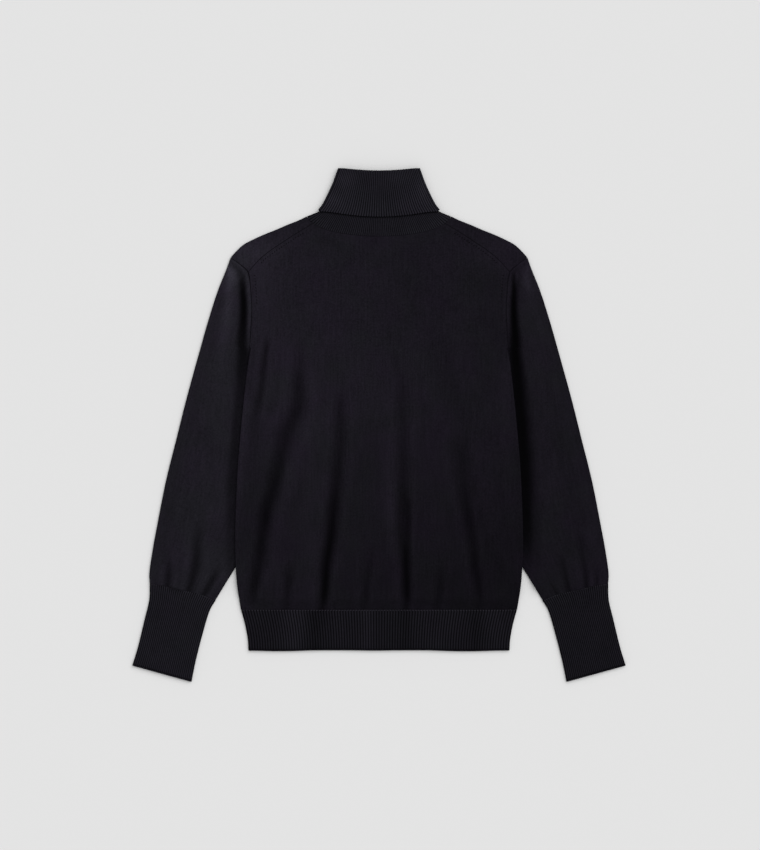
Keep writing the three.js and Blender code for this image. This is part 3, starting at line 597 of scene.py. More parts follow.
def makeStitchTree():
    # short stitches along a line, lying flat, all leaning one way or turn about
    tree, given, result = newTree("sewStitches", {
        "Pitch": 0.002, "Length": 0.0015, "Width": 0.0006, "Height": 0.0005, "Lean": 0.0, "Turn About": 0.0,
        "Material": None})
    line = addNode(tree, "GeometryNodeMeshToCurve", Mesh=given.outputs["Geometry"])
    spaced = addNode(tree, "GeometryNodeResampleCurve", {"mode": "LENGTH"}, Curve=line.outputs[0],
                     Length=given.outputs["Pitch"])
    loop = addNode(tree, "GeometryNodeMeshIcoSphere", Radius=0.5, Subdivisions=1)
    way = addNode(tree, "GeometryNodeInputTangent")
    facing = addNode(tree, "FunctionNodeAlignRotationToVector", {"axis": "X", "pivot_axis": "Z"},
                     Vector=way.outputs[0])
    size = addNode(tree, "ShaderNodeCombineXYZ", X=given.outputs["Length"], Y=given.outputs["Width"],
                   Z=given.outputs["Height"])
    placed = addNode(tree, "GeometryNodeInstanceOnPoints", Points=spaced.outputs[0],
                     Instance=loop.outputs[0], Rotation=facing.outputs[0], Scale=size.outputs[0])
    index = addNode(tree, "GeometryNodeInputIndex")
    odd = calc(tree, "MODULO", index.outputs[0], 2.0)
    flip = calc(tree, "MULTIPLY", calc(tree, "MULTIPLY", odd, 2.0), given.outputs["Turn About"])
    lean = calc(tree, "MULTIPLY", calc(tree, "SUBTRACT", 1.0, flip), given.outputs["Lean"])
    turn = addNode(tree, "ShaderNodeCombineXYZ", Z=lean)
    leaning = addNode(tree, "GeometryNodeRotateInstances", Instances=placed.outputs[0],
                      Rotation=turn.outputs[0])
    finishTree(tree, given, result, leaning.outputs[0])
    return tree


def makeRollTree():
    # a thin rounded roll along a line, waisted between ribs
    tree, given, result = newTree("rollEdge", {
        "Radius": 0.0008, "Step": 0.001, "Rib Pitch": 0.004, "Waist": 0.15, "Material": None})
    line = addNode(tree, "GeometryNodeMeshToCurve", Mesh=given.outputs["Geometry"])
    spaced = addNode(tree, "GeometryNodeResampleCurve", {"mode": "LENGTH"}, Curve=line.outputs[0],
                     Length=given.outputs["Step"])
    along = addNode(tree, "GeometryNodeSplineParameter")
    ribs = calc(tree, "DIVIDE", along.outputs["Length"], given.outputs["Rib Pitch"])
    wave = calc(tree, "ABSOLUTE", calc(tree, "SINE", calc(tree, "MULTIPLY", ribs, math.pi)))
    thin = calc(tree, "MULTIPLY", calc(tree, "SUBTRACT", 1.0, wave), given.outputs["Waist"])
    radius = calc(tree, "SUBTRACT", 1.0, thin)
    profile = addNode(tree, "GeometryNodeCurvePrimitiveCircle", Resolution=8, Radius=given.outputs["Radius"])
    rolled = addNode(tree, "GeometryNodeCurveToMesh", Curve=spaced.outputs[0],
                     Profile_Curve=profile.outputs[0], Scale=radius, Fill_Caps=True)
    smooth = addNode(tree, "GeometryNodeSetShadeSmooth", Geometry=rolled.outputs[0])
    finishTree(tree, given, result, smooth.outputs[0])
    return tree


# Materials
def vectorCalc(tree, operation, **inputs):
    node = tree.nodes.new("ShaderNodeVectorMath")
    node.operation = operation
    places = {"first": 0, "second": 1, "scale": 3}
    for label, value in inputs.items():
        fill(tree, node.inputs[places[label]], value)
    return node.outputs[0]


def noise(tree, vector, scale, detail, roughness=0.5):
    node = addNode(tree, "ShaderNodeTexNoise", Vector=vector, Scale=scale, Detail=detail, Roughness=roughness)
    return node.outputs[0]


def centred(tree, value, gain):
    return calc(tree, "MULTIPLY", calc(tree, "SUBTRACT", value, 0.5), gain)


def meshValue(tree, name):
    return addNode(tree, "ShaderNodeAttribute", {"attribute_name": name}).outputs["Fac"]


def knitMaterial(name, look):
    # plain knit: legs of small Vs along the piece's own knit map, with soft mottling, fibres and streaks;
    # the mesh gives the painted light and shade of each place and, on ribs, painted shade by how deep it lies
    # between two ribs
    material = bpy.data.materials.new(name)
    material.use_nodes = True
    tree = material.node_tree
    shader = tree.nodes["Principled BSDF"]
    shader.inputs["Roughness"].default_value = look["roughness"]
    shader.inputs["Specular IOR Level"].default_value = look["specular"]
    shader.inputs["Sheen Weight"].default_value = look["sheen"]
    shader.inputs["Sheen Roughness"].default_value = look["sheenRoughness"]
    shader.inputs["Sheen Tint"].default_value = (*look["sheenColour"], 1)
    knit = addNode(tree, "ShaderNodeUVMap", {"uv_map": "knit"}).outputs[0]
    place = addNode(tree, "ShaderNodeTexCoord").outputs["Object"]
    split = addNode(tree, "ShaderNodeSeparateXYZ", Vector=knit)
    wale = calc(tree, "DIVIDE", split.outputs["X"], look["walePitch"] * mm)
    course = calc(tree, "DIVIDE", split.outputs["Y"], look["coursePitch"] * mm)
    across = calc(tree, "MULTIPLY", calc(tree, "PINGPONG", wale, 0.5), 2.0)
    leg = calc(tree, "SINE", calc(tree, "MULTIPLY", across, math.pi))
    slant = calc(tree, "ADD", course, calc(tree, "MULTIPLY", across, look["slant"]))
    bead = calc(tree, "SINE", calc(tree, "MULTIPLY", slant, 2 * math.pi))
    loops = calc(tree, "MULTIPLY", leg, calc(tree, "MULTIPLY_ADD", bead, look["bead"], 1 - look["bead"]))
    height = calc(tree, "MULTIPLY_ADD", noise(tree, place, look["fuzzScale"], 3.0), look["fuzz"], loops)
    bump = addNode(tree, "ShaderNodeBump", Strength=look["bump"], Distance=look["bumpDepth"] * mm,
                   Height=height)
    tree.links.new(bump.outputs[0], shader.inputs["Normal"])

    stretched = addNode(tree, "ShaderNodeMapping", Vector=knit, Scale=look["streakScale"])
    shade = 1.0
    for pattern, gain in ((noise(tree, place, look["mottleScale"], 5.0, 0.62), look["mottle"]),
                          (noise(tree, stretched.outputs[0], 1.0, 2.0), look["streaks"]),
                          (noise(tree, place, look["fibreScale"], 2.0), look["fibres"]),
                          (loops, look["loopTone"])):
        shade = calc(tree, "ADD", shade, centred(tree, pattern, gain))
    # painted light and shade: the colour is multiplied by the mesh's painted light and its painted groove
    # shade
    tone = meshValue(tree, "tone") if look["toned"] else 1.0
    kept = calc(tree, "SUBTRACT", 1.0, calc(tree, "MULTIPLY", meshValue(tree, "groove"), look["groove"]))
    shade = calc(tree, "MULTIPLY", calc(tree, "MAXIMUM", shade, look["darkest"]),
                 calc(tree, "MULTIPLY", kept, tone))
    drift = centred(tree, noise(tree, place, look["hueScale"], 4.0), look["hueSpread"])
    hue = calc(tree, "ADD", 0.5 + look["lean"], drift)
    hue = calc(tree, "MINIMUM", calc(tree, "MAXIMUM", hue, 0.0), 1.0)
    warm = vectorCalc(tree, "SCALE", first=look["warm"], scale=hue)
    cool = vectorCalc(tree, "SCALE", first=look["cool"], scale=calc(tree, "SUBTRACT", 1.0, hue))
    colour = vectorCalc(tree, "SCALE", first=vectorCalc(tree, "ADD", first=warm, second=cool), scale=shade)
    tree.links.new(colour, shader.inputs["Base Color"])
    return material


# Colours of the two shades that the yarn drifts between, pitches in millimetres, and gains of each pattern
jerseyLook = {
    "warm": (0.0119, 0.0094, 0.0154), "cool": (0.0107, 0.0101, 0.0134), "hueScale": 17.0, "hueSpread": 2.6,
    "lean": 0.0, "roughness": 0.85, "specular": 0.02, "sheen": 0.004, "sheenRoughness": 0.45,
    "sheenColour": (0.9, 0.88, 1.0), "walePitch": 1.5, "coursePitch": 1.15, "slant": 0.6, "bead": 0.35,
    "bump": 0.45, "bumpDepth": 0.4, "fuzzScale": 1400.0, "fuzz": 0.5, "mottleScale": 30.0, "mottle": 0.4,
    "streakScale": (430, 26, 1), "streaks": 0.6, "fibreScale": 460.0, "fibres": 1.1, "loopTone": 0.15,
    "darkest": 0.15, "groove": 0.6, "toned": True,
}
sleeveLook = jerseyLook | {"lean": -0.3}
ribLook = jerseyLook | {"warm": (0.0116, 0.0104, 0.0146), "cool": (0.0111, 0.0108, 0.0140), "streaks": 0.25,
                        "fibres": 0.8, "groove": 0.97, "walePitch": 2.0}
yarnLook = jerseyLook | {"bump": 0.1, "streaks": 0, "mottle": 0.3, "fibres": 0.5, "toned": False}


def yarnMaterial(name, warm, cool):
    return knitMaterial(name, yarnLook | {"warm": warm, "cool": cool})


jerseyKnit = knitMaterial("jerseyKnit", jerseyLook)
sleeveKnit = knitMaterial("sleeveKnit", sleeveLook)
ribKnit = knitMaterial("ribKnit", ribLook)
seamYarn = yarnMaterial("seamYarn", (0.0056, 0.0045, 0.0072), (0.0051, 0.0048, 0.0065))
linkYarn = yarnMaterial("linkYarn", (0.0160, 0.0132, 0.0200), (0.0150, 0.0140, 0.0186))
# painted highlight: the loops are coloured paler than the black yarn
loopHighlightYarn = yarnMaterial("loopHighlightYarn", (0.032, 0.028, 0.038), (0.030, 0.029, 0.036))
darkYarn = yarnMaterial("darkYarn", (0.0030, 0.0024, 0.0038), (0.0028, 0.0025, 0.0035))
print("materials made")

ribTree = makeRibTree()
stitchTree = makeStitchTree()
rollTree = makeRollTree()


def declare(piece, node, flat, area):
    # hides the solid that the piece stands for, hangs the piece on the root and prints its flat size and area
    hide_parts(node)
    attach(piece, "root")
    width, length = flat
    print(piece.name, "flat", round(width, 3), "by", round(length, 3), "area", round(area, 4))
    min(area, width * length)


# Stops along the armhole, then each panel's columns and rows. The front's strip also has how far it may wrap
# past the tip of the armhole, how late it takes up the armhole's bend, and a step at its last corner.
jointShare = float(armhole.knotShares[2])
marginShare = sideInset / armhole.length
backGrid = {"neck": 34, "seam": 32, "lower": 136, "upper": 44, "neckGap": 0.51}
frontGrid = {"neck": 16, "seam": 30, "lower": 44, "upper": 26, "strip": 14, "pastEdge": 1, "bendPower": 6,
             "cornerX": 0.1, "cornerY": 0.15}
# How a panel's sides curl to the other panel, and what keeps the two apart at the hem and the underarm
sideCurl = table("out up", [(0.34, 0.94), (0.64, 0.77), (0.82, 0.52), (0.885, 0.24)])
sides = {"hemGap": 0.18, "underarmGap": 2, "parted": 0.8, "partedSpan": (88, 112), "firstShare": 0.001}
shareSteps = 2001


def levelLines(level, reach):
    tip = np.array([level["x"], level["y"]]) - bearing(level["turn"])[:2] * reach
    hook = tip[1] - level["back"] - level["bow"]

    def backY(share):
        return level["back"] + level["bow"] * share**2 + hook * np.abs(share) ** collar["hookPower"]

    def frontY(share):
        return level["front"] + (tip[1] - level["front"]) * np.abs(share) ** collar["frontPower"]

    return tip[0], backY, frontY


neckHalf, neckBackY, neckFrontY = levelLines(standLevels[0], cloth["foldReach"])


def belowLine(lineY, x, gap):
    # a gap below a line of the neck, square to it
    ahead, behind = [lineY((x + reach) / neckHalf) for reach in (0.5, -0.5)]
    slope = np.where(x > 0, ahead - behind, 0)
    steep = np.hypot(1, slope)
    return np.column_stack([x + gap * slope / steep, lineY(x / neckHalf) - gap / steep])


def shareShortOf(path, edgeX):
    shares = np.linspace(0, 1, shareSteps)
    return float(shares[path.at(shares)[:, 0] <= edgeX - sideInset][-1])


seamShare = shareShortOf(seamOfShoulder, armhole.beside(jointShare, -cloth["armholeGap"])[0])


def mirrored(half):
    return np.vstack([(half[1:] * [-1, 1])[::-1], half])


def panelRow(tops, half, y, share, heightAt, layer):
    x = tops[:, 0] / tops[-1, 0] * (half - sideInset)
    ys = np.full(len(x), float(y)) if share is None else lerp(cloth["underarmY"], tops[:, 1], share)
    flat = np.column_stack([x, ys, heightAt(x, ys)])
    last = flat[-1]
    low, high = frontHeight(last[0], last[1]), jerseyHigh + sideLift(last[0], last[1])
    parted = sides["parted"] * smoothstep(y, *sides["partedSpan"])
    edges = []
    for side, tip in ((-1, flat[0]), (1, last)):
        curled = []
        for k, stop in enumerate(sideCurl):
            if share is None:
                z = (low + high) / 2 + layer * lerp(stop["up"], 1, parted) * (high - low) / 2
                inset = cloth["jersey"] / 2 + cloth["foldReach"] * (1 - stop["out"])
                curled.append([side * (half - inset), y, z])
            else:
                t = (k + 1) / len(sideCurl)
                place = lerp(tip[:2], np.array([side * half, y]), t)
                curled.append([*place, float(heightAt(place[0], place[1]))])
        edges.append(np.array(curled)[::side])
    return np.vstack([edges[0], flat, edges[1]])


def panelRows(tops, lowerCount, edgeStops, heightAt, layer):
    start, end = cloth["hemSeamY"] + sides["hemGap"], cloth["underarmY"] - sides["underarmGap"]
    rows = [panelRow(tops, float(halfAt(y)), y, None, heightAt, layer)
            for y in np.linspace(start, end, lowerCount)]
    topY = float(armhole.beside(edgeStops[0], -cloth["armholeGap"])[1])
    for k, stop in enumerate(edgeStops[::-1]):
        gap = cloth["armholeGap"] * (2 if k == 0 else 1)
        x, y = armhole.beside(stop, -gap)
        share = (y - cloth["underarmY"]) / (topY - cloth["underarmY"])
        rows.append(panelRow(tops, x, y, max(share, sides["firstShare"]), heightAt, layer))
    return rows


def makeBackPanel():
    neckX = np.linspace(0, shoulderSeam[0]["x"], backGrid["neck"], endpoint=False)
    neck = belowLine(neckBackY, neckX, backGrid["neckGap"])
    shares = np.linspace(0, seamShare, backGrid["seam"])
    seam = seamOfShoulder.beside(shares, -cloth["seamGap"] / 2)
    tops = mirrored(np.vstack([neck, seam]))
    stops = np.linspace(jointShare, 1 - marginShare, backGrid["upper"])
    rows = panelRows(tops, backGrid["lower"], stops, backHeight, 1)
    points, quads = np.vstack(rows), gridQuads(len(rows), len(rows[0]))
    piece = clothMesh("backPanel", points, quads, cloth["jersey"], points[:, :2] * mm, quads,
                      upAt=len(points) // 2, tone=bodyPaintedLight(points))
    piece.data.materials.append(jerseyKnit)
    return piece, sheetArea(points, quads)


def paintedSpots(places, x, y):
    # spots of painted highlight (gain above 0) and painted shade
    tone = np.ones(len(x))
    for spot in places:
        away = ((x - spot["x"]) / spot["wide"]) ** 2 + ((y - spot["y"]) / spot["tall"]) ** 2
        tone = tone * (1 + spot["gain"] * np.exp(-away))
    return tone


def bodyPaintedLight(points):
    # painted light and shade: paler to the left, darker towards the hem, in spots, and in the folds and
    # creases
    x, y = points[:, 0], points[:, 1]
    tone = paintedShading["middle"] + paintedShading["across"] * x - paintedShading["lower"] * (1 - smoothstep(y, *paintedShading["lowerSpan"]))
    return tone * paintedSpots(paintedLightSpots, x, y) * paintedFoldShading(bodyFoldLines + bodyCreaseLines, x, y)


def foldAway(share):
    # the way that the shoulder's fold faces
    if share < 1:
        way = shoulder.way(share)
        return np.array([-way[1], way[0], 0])
    return np.array([*(-armhole.way(0)), 0])


def makeFrontPanel():
    tip = armhole.beside(marginShare, -cloth["armholeGap"])
    lastShare = shareShortOf(shoulder, tip[0] + frontGrid["pastEdge"])
    neckX = np.linspace(0, 1, frontGrid["neck"])[:-1] * neckHalf
    neck = belowLine(neckFrontY, neckX, cloth["seamGap"])
    wrapShares = list(np.linspace(0, lastShare, frontGrid["seam"]))
    starts = np.array([shoulder.at(share) - foldAway(share)[:2] * sideInset for share in wrapShares])
    tops = mirrored(np.vstack([neck, starts]))
    stops = np.linspace(marginShare, 1 - marginShare, frontGrid["upper"])
    rows = panelRows(tops, frontGrid["lower"], stops, frontHeight, -1)
    columns = len(rows[0])
    points, quads = np.vstack(rows), [gridQuads(len(rows), columns)]
    centre = len(points) - (columns + 1) // 2
    seamShares = list(np.linspace(0, seamShare, frontGrid["seam"]))
    for k in range(len(sideCurl)):
        wrapShares.append(lerp(lastShare, 1, (k + 1) / len(sideCurl)))
        seamShares.append(lerp(seamShare, 1, (k + 1) / len(sideCurl)))
    steps = np.linspace(0, 1, frontGrid["strip"])
    ends = armhole.beside(lerp(marginShare, jointShare, steps), -cloth["armholeGap"])
    bends = ends - lerp(ends[:1], ends[-1:], steps[:, None])
    parts, count = [points], len(points)

    # the strip that wraps over each shoulder to the seam on the back
    for side in (1, -1):
        strands = []
        for k, share in enumerate(wrapShares):
            index = centre + side * (len(neck) + k)
            low = points[index] * [side, 1, 1]
            end = seamOfShoulder.beside(seamShares[k], cloth["seamGap"] / 2)
            plan = lerp(low[:2], end, steps[:, None]) + bends * share ** frontGrid["bendPower"]
            if k == 0:
                xs = lerp(low[0], end[0], steps[1:])
                plan[1:] = belowLine(neckBackY, xs, cloth["seamGap"])
            if k == len(wrapShares) - 1:
                plan = ends.copy()
                plan[-1] += [frontGrid["cornerX"], frontGrid["cornerY"]]
            top = withHeight(plan, stripHeight(plan[:, 0], plan[:, 1]))
            turned = foldRound(low, top[0], foldAway(share) * cloth["foldReach"])
            strand = np.vstack([turned, top]) * [side, 1, 1]
            strands.append([index, *range(count, count + len(strand))])
            parts.append(strand)
            count += len(strand)
        grid = np.array(strands)
        strip = np.stack([grid[:-1, :-1], grid[1:, :-1], grid[1:, 1:], grid[:-1, 1:]], axis=-1).reshape(-1, 4)
        quads.append(strip if side > 0 else strip[:, ::-1])
    points, quads = np.vstack(parts), np.vstack(quads)
    onStrip = count - 3
    piece = clothMesh("frontPanel", points, quads, cloth["jersey"], points[:, :2] * mm, quads,
                      upAt=onStrip, tone=bodyPaintedLight(points))
    piece.data.materials.append(jerseyKnit)
    return piece, sheetArea(points, quads)


# Each sleeve, measured outwards from the armhole or the body's edge. Its furrow: the height kept beside the
# seam, where the pillow starts to rise, how far that takes and its share of the full height. Its bed: the
# middle of the painted shade on the furrow's floor, its width and how dark it is. Its crest: where the pillow
# carries a painted highlight beside the furrow, how wide and how pale. Its painted light and shade: the tone
# near the cuff (the left sleeve painted paler than the right), what it gains up to the shoulder and between
# which heights, and the gains of painted highlight along the outline and on the ridge beside the seam.
furrowColumns = "y ridge floor rise high"
furrowShadeColumns = "y bed wide dark"
highlightColumns = "y out wide pale"
leftSleeve = {
    "furrow": table(furrowColumns, [
        (-263, 0, 1, 30, 0.7), (-200, 0, 4, 38, 0.9), (-60, 0, 5, 34, 0.9), (60, 0, 6, 28, 0.95),
        (116, 0, 9, 17, 1), (150, 3.4, 13, 10, 1), (200, 4.2, 13.5, 9, 0.95), (222, 3, 14, 14, 0.8),
        (236, 1.2, 17, 22, 0.5), (251, 0, 20, 30, 0.4),
    ]),
    "bed": table(furrowShadeColumns, [
        (-263, 4, 8, 0), (-200, 5, 9, 0.3), (-90, 6, 9, 0.5), (30, 6, 9, 0.52), (70, 7, 10, 0.66),
        (100, 9, 10.5, 0.76), (130, 12.5, 8.5, 0.82), (190, 12.5, 6.2, 0.88), (212, 12.5, 5.2, 0.7),
        (226, 12.5, 4, 0.3), (240, 13, 4, 0),
    ]),
    "crest": table(highlightColumns, [
        (60, 40, 8, 0), (100, 40, 8, 0.15), (150, 38, 7, 0.42), (190, 33, 7, 0.55), (205, 31, 7, 0.8),
        (232, 26, 7.5, 1.2), (245, 21, 8, 0.9), (251, 16, 8, 0.4),
    ]),
    "paintedShading": {"low": 1.12, "gain": 0.26, "span": (-50, 180), "edge": 0.04, "ridge": 0.25},
    "gathers": {
        "outer": table(foldColumns, [
            (-196, 316, 5, 5, 0, 0), (-219, 317.5, 6, 5, 0.7, 0.28), (-243, 318.5, 5, 5, 0.8, 0.4)]),
        "middle": table(foldColumns, [
            (-140, 270, 6, 6, 0, 0), (-172, 274.5, 8, 6, 0.6, 0.25), (-208, 276.5, 8, 6, 0.85, 0.4),
            (-252, 287, 7, 5, 0.85, 0.45)]),
        "inner": table(foldColumns, [
            (-208, 240, 5, 5, 0, 0), (-228, 248.5, 6, 5, 0.7, 0.32), (-259, 265.5, 5, 5, 0.85, 0.42)]),
    },
}
rightSleeve = {
    "furrow": table(furrowColumns, [
        (-263, 0, 1, 30, 0.7), (-200, 0, 7, 24, 0.9), (-60, 0, 9, 18, 0.95), (60, 0, 10, 14, 1),
        (116, 0, 10, 13, 1), (150, 3.2, 11.2, 10, 1), (200, 4.2, 11, 9, 0.95), (222, 3, 12, 13, 0.8),
        (236, 1.2, 17, 22, 0.5), (251, 0, 20, 30, 0.4),
    ]),
    "bed": table(furrowShadeColumns, [
        (-242, 5, 7, 0), (-205, 5, 9, 0.35), (-170, 5, 10, 0.75), (-90, 5.5, 12, 0.86), (60, 7, 12, 0.88),
        (110, 9.5, 10, 0.9), (150, 10.8, 7, 0.9), (190, 10.2, 5.5, 0.86), (212, 9, 4.2, 0.75),
        (226, 6.5, 3.2, 0.5), (240, 5, 3, 0),
    ]),
    "crest": table(highlightColumns, [
        (-230, 30, 14, 0), (-150, 40, 16, 0.08), (0, 44, 16, 0.12), (120, 40, 12, 0.12), (190, 30, 8, 0.14),
        (215, 28, 6, 0.5), (242, 20, 7, 0.35), (251, 14, 7, 0),
    ]),
    "paintedShading": {"low": 0.72, "gain": 0.17, "span": (-50, 200), "edge": 0.1, "ridge": 0.1},
    "gathers": {
        "outer": table(foldColumns, [
            (-208, 325, 4, 4, 0, 0), (-226, 325.5, 4, 3.5, 0.4, 0.14), (-242, 326.5, 4, 3.5, 0.5, 0.3)]),
        "upper": table(foldColumns, [
            (-158, 298, 6, 6, 0, 0), (-182, 301.5, 5, 5, 0.4, 0.14), (-232, 309.5, 5, 4, 0.6, 0.22),
            (-246, 311, 5, 4, 0.7, 0.36)]),
        "middle": table(foldColumns, [
            (-190, 271, 6, 6, 0, 0), (-212, 275.5, 6, 4, 0.5, 0.16), (-253, 285.5, 5, 4, 0.7, 0.36)]),
        "inner": table(foldColumns, [
            (-232, 256, 4, 4, 0, 0), (-244, 261, 4, 3.5, 0.4, 0.16), (-258, 269.5, 4, 3.5, 0.6, 0.32)]),
    },
}
# What both sleeves share: the pillow's height and ends, how far the seam's ridge and the outline reach,
# how sharp the painted shade in the furrow is, and where the painted highlights on the ridge and along
# the outline lie
arm = {"high": 7.0, "begins": (-268, -238), "ends": (205, 250), "edges": (1, 26), "gathersTake": 0.9,
       "ridgeFlat": 4.5, "ridgeShort": 1.5, "ridgeEdges": (3, 14), "bedSharpness": 3, "ridgeAt": 3,
       "ridgeWide": 2.4, "ridgeSpan": (105, 150), "edgeWide": 14, "edgeSpan": (170, 225)}
sleeveGrid = {"rings": 150, "upper": 66, "lower": 22, "ringEase": 1.12, "innerPace": 2.4,
              "armBend": (0, 0.18), "cuffBend": (0.8, 1), "upRing": 20, "upColumn": 30}


def tableLines(rows, columns):
    return {column: tableLine(rows, "y", column) for column in columns.split()[1:]}


def sleeveShape(look):
    # the height of the sleeve's upper layer over its flat place, and its painted light and shade
    furrow, gathers = tableLines(look["furrow"], furrowColumns), foldLines(look["gathers"])
    bed, crest = tableLines(look["bed"], furrowShadeColumns), tableLines(look["crest"], highlightColumns)
    paintedSleeveLight = look["paintedShading"]

    def away(x, y):
        beside = np.where(y > cloth["gatherY"], halfAt(np.minimum(y, cloth["underarmY"])),
                          cuffSeam[-1]["x"])
        return x - np.where(y > cloth["underarmY"], armholeAt(y), beside)

    def height(x, y):
        out, toOutline = away(x, y), outlineAt(y) - x
        length = smoothstep(y, *arm["begins"]) * (1 - smoothstep(y, *arm["ends"]))
        floor = furrow["floor"](y)
        rising = smoothstep(out, floor, floor + furrow["rise"](y))
        besideSeam = 1 - smoothstep(out, arm["ridgeFlat"], floor - arm["ridgeShort"])
        seamRidge = furrow["ridge"](y) * besideSeam * smoothstep(toOutline, *arm["ridgeEdges"])
        swell = arm["high"] * length * furrow["high"](y) * smoothstep(toOutline, *arm["edges"])
        swell = swell * (1 - arm["gathersTake"] * (1 - unfolded(gathers, x, y)))
        return np.where(out < 0, 0, seamRidge + swell * rising)

    def tone(x, y):
        out, toOutline = away(x, y), outlineAt(y) - x
        # painted light: paler towards the shoulder, with painted highlights on the crest, the ridge and the
        # outline
        pale = paintedSleeveLight["low"] + paintedSleeveLight["gain"] * smoothstep(y, *paintedSleeveLight["span"])
        pale = pale * (1 + crest["pale"](y) * np.exp(-((out - crest["out"](y)) / crest["wide"](y)) ** 2))
        onRidge = smoothstep(y, *arm["ridgeSpan"]) * np.exp(-((out - arm["ridgeAt"]) / arm["ridgeWide"]) ** 2)
        onEdge = smoothstep(y, *arm["edgeSpan"]) * np.exp(-(toOutline / arm["edgeWide"]) ** 2)
        pale = pale * (1 + paintedSleeveLight["ridge"] * onRidge) * (1 + paintedSleeveLight["edge"] * onEdge)
        # painted shade on the furrow's floor
        fromBed = np.abs((out - bed["bed"](y)) / bed["wide"](y))
        floor = bed["dark"](y) * np.exp(-fromBed ** arm["bedSharpness"])
        return pale * (1 - floor) * paintedFoldShading(gathers, x, y)

    return height, tone


def turnedTone(z, high):
    # cloth that turns down at an edge, and what lies beneath, takes less light
    return lerp(paintedShading["turned"], 1, smoothstep(z - high, *paintedShading["turnedSpan"]))


def squareTo(path, share):
    way = path.way(share)
    return np.array([-way[1], way[0]])


def makeSleeve(name, side, look):
    outer, inner, end = Path(sleeveOutline), Path(sleeveInside), Path(cuffSeam)
    height, tone = sleeveShape(look)
    margin = [marginShare, 1 - marginShare]
    upperPlaces, lowerPlaces = [np.linspace(0, 1, sleeveGrid[key]) for key in ("upper", "lower")]

    def bulge(path, t):
        return path.at(t) - lerp(path.at(0.0), path.at(1.0), t[:, None])

    rings = []
    for share in np.linspace(0, 1, sleeveGrid["rings"]):
        along = share ** sleeveGrid["ringEase"]
        near, far = outer.at(along), inner.at(along ** sleeveGrid["innerPace"])
        span = np.linalg.norm(far - near)
        inset = sideInset / span
        nearArm = 1 - smoothstep(along, *sleeveGrid["armBend"])
        nearCuff = smoothstep(along, *sleeveGrid["cuffBend"])
        layers = []
        for places in (upperPlaces, lowerPlaces):
            t = lerp(inset, 1 - inset, places)
            if share == 0:
                plan = armhole.at(lerp(*margin, places))
            else:
                plan = lerp(near, far, t[:, None]) + bulge(armhole, t) * nearArm + bulge(end, t) * nearCuff
            layers.append(plan)
        ways = [-armhole.way(0.0), armhole.way(1.0)]
        if share > 0:
            ways = [squareTo(outer, along), (far - near) / span]
            for plan in layers:
                plan[0] = near - ways[0] * sideInset
        upper = withHeight(layers[0], jerseyHigh + height(layers[0][:, 0], layers[0][:, 1]))
        lower = withHeight(layers[1], jerseyLow)
        rings.append(flatRing(upper, lower, np.array([*ways[0], 0]), np.array([*ways[1], 0]),
                              cloth["foldReach"]))
    rings = np.array(rings)
    points = rings.reshape(-1, 3)
    # painted light and shade, with painted shade where the cloth turns down
    pale = tone(points[:, 0], points[:, 1]) * turnedTone(points[:, 2], jerseyHigh)
    points = points * [side, 1, 1]
    quads = gridQuads(len(rings), rings.shape[1], True)
    upAt = sleeveGrid["upRing"] * rings.shape[1] + sleeveGrid["upColumn"]
    piece = clothMesh(name, points, quads, cloth["jersey"], tubeUv(rings),
                      gridQuads(len(rings), rings.shape[1] + 1), upAt, tone=pale)
    piece.data.materials.append(sleeveKnit if side < 0 else jerseyKnit)
    return piece, sheetArea(points, quads)


# Ribbed tubes, whose ribs are bound off at the free edge, with a dark line of painted shade just above it
crestRoundness = 0.95
boundEdge = {"rings": 8, "lineAt": 2.4, "lineWide": 0.8, "lineDark": 0.8, "relief": 0.35}


def endShares(tube):
    # stops along a rib, closer together beside its free edge
    last = tube["lastWide"]
    return np.concatenate([np.linspace(0, last, tube["rings"]), np.linspace(last, 1, boundEdge["rings"])[1:]])


def edgeTone(shares, length):
    # how much light is left at each stop along the rib
    fromEdge = (1 - shares) * length
    line = np.exp(-((fromEdge - boundEdge["lineAt"]) / boundEdge["lineWide"]) ** 2)
    return 1 - boundEdge["lineDark"] * line


def edgeMasks(shares, length):
    # the ribs sink towards the bound edge
    fromEdge = (1 - shares) * length
    return lerp(boundEdge["relief"], 1, smoothstep(fromEdge, 0, boundEdge["lineAt"]))


def ribPlaces(tube):
    return np.linspace(0, 1, tube["ribs"] * tube["columns"] + 1)


def ribbedTube(name, rings, tube, upAt, toneAt, masks=1, rowTone=1):
    # one closed tube whose upper layer carries the ribs
    rings = np.array(rings)
    count, total = rings.shape[:2]
    shown = len(ribPlaces(tube))
    phase, mask = np.zeros(total), np.zeros(total)
    phase[:shown] = np.linspace(0, tube["ribs"], shown)
    mask[:shown] = 1
    points, quads = rings.reshape(-1, 3), gridQuads(count, total, True)
    tone = toneAt(points[:, 0], points[:, 1]) * np.repeat(np.broadcast_to(rowTone, count), total)
    # painted shade on the folds and the layer beneath the ribs
    turned = np.where(np.tile(mask, count) > 0, 1, paintedShading["turned"])
    piece = clothMesh(name, points, quads, cloth["ribKnit"], tubeUv(rings), gridQuads(count, total + 1),
                      upAt=upAt * total + shown // 2, ribPhase=np.tile(phase, count),
                      ribMask=np.outer(np.broadcast_to(masks, count), mask).ravel(), tone=tone * turned)
    runTree(piece, ribTree, {"Height": tube["high"] * mm, "Roundness": crestRoundness, "Material": ribKnit})
    return piece, sheetArea(points, quads)


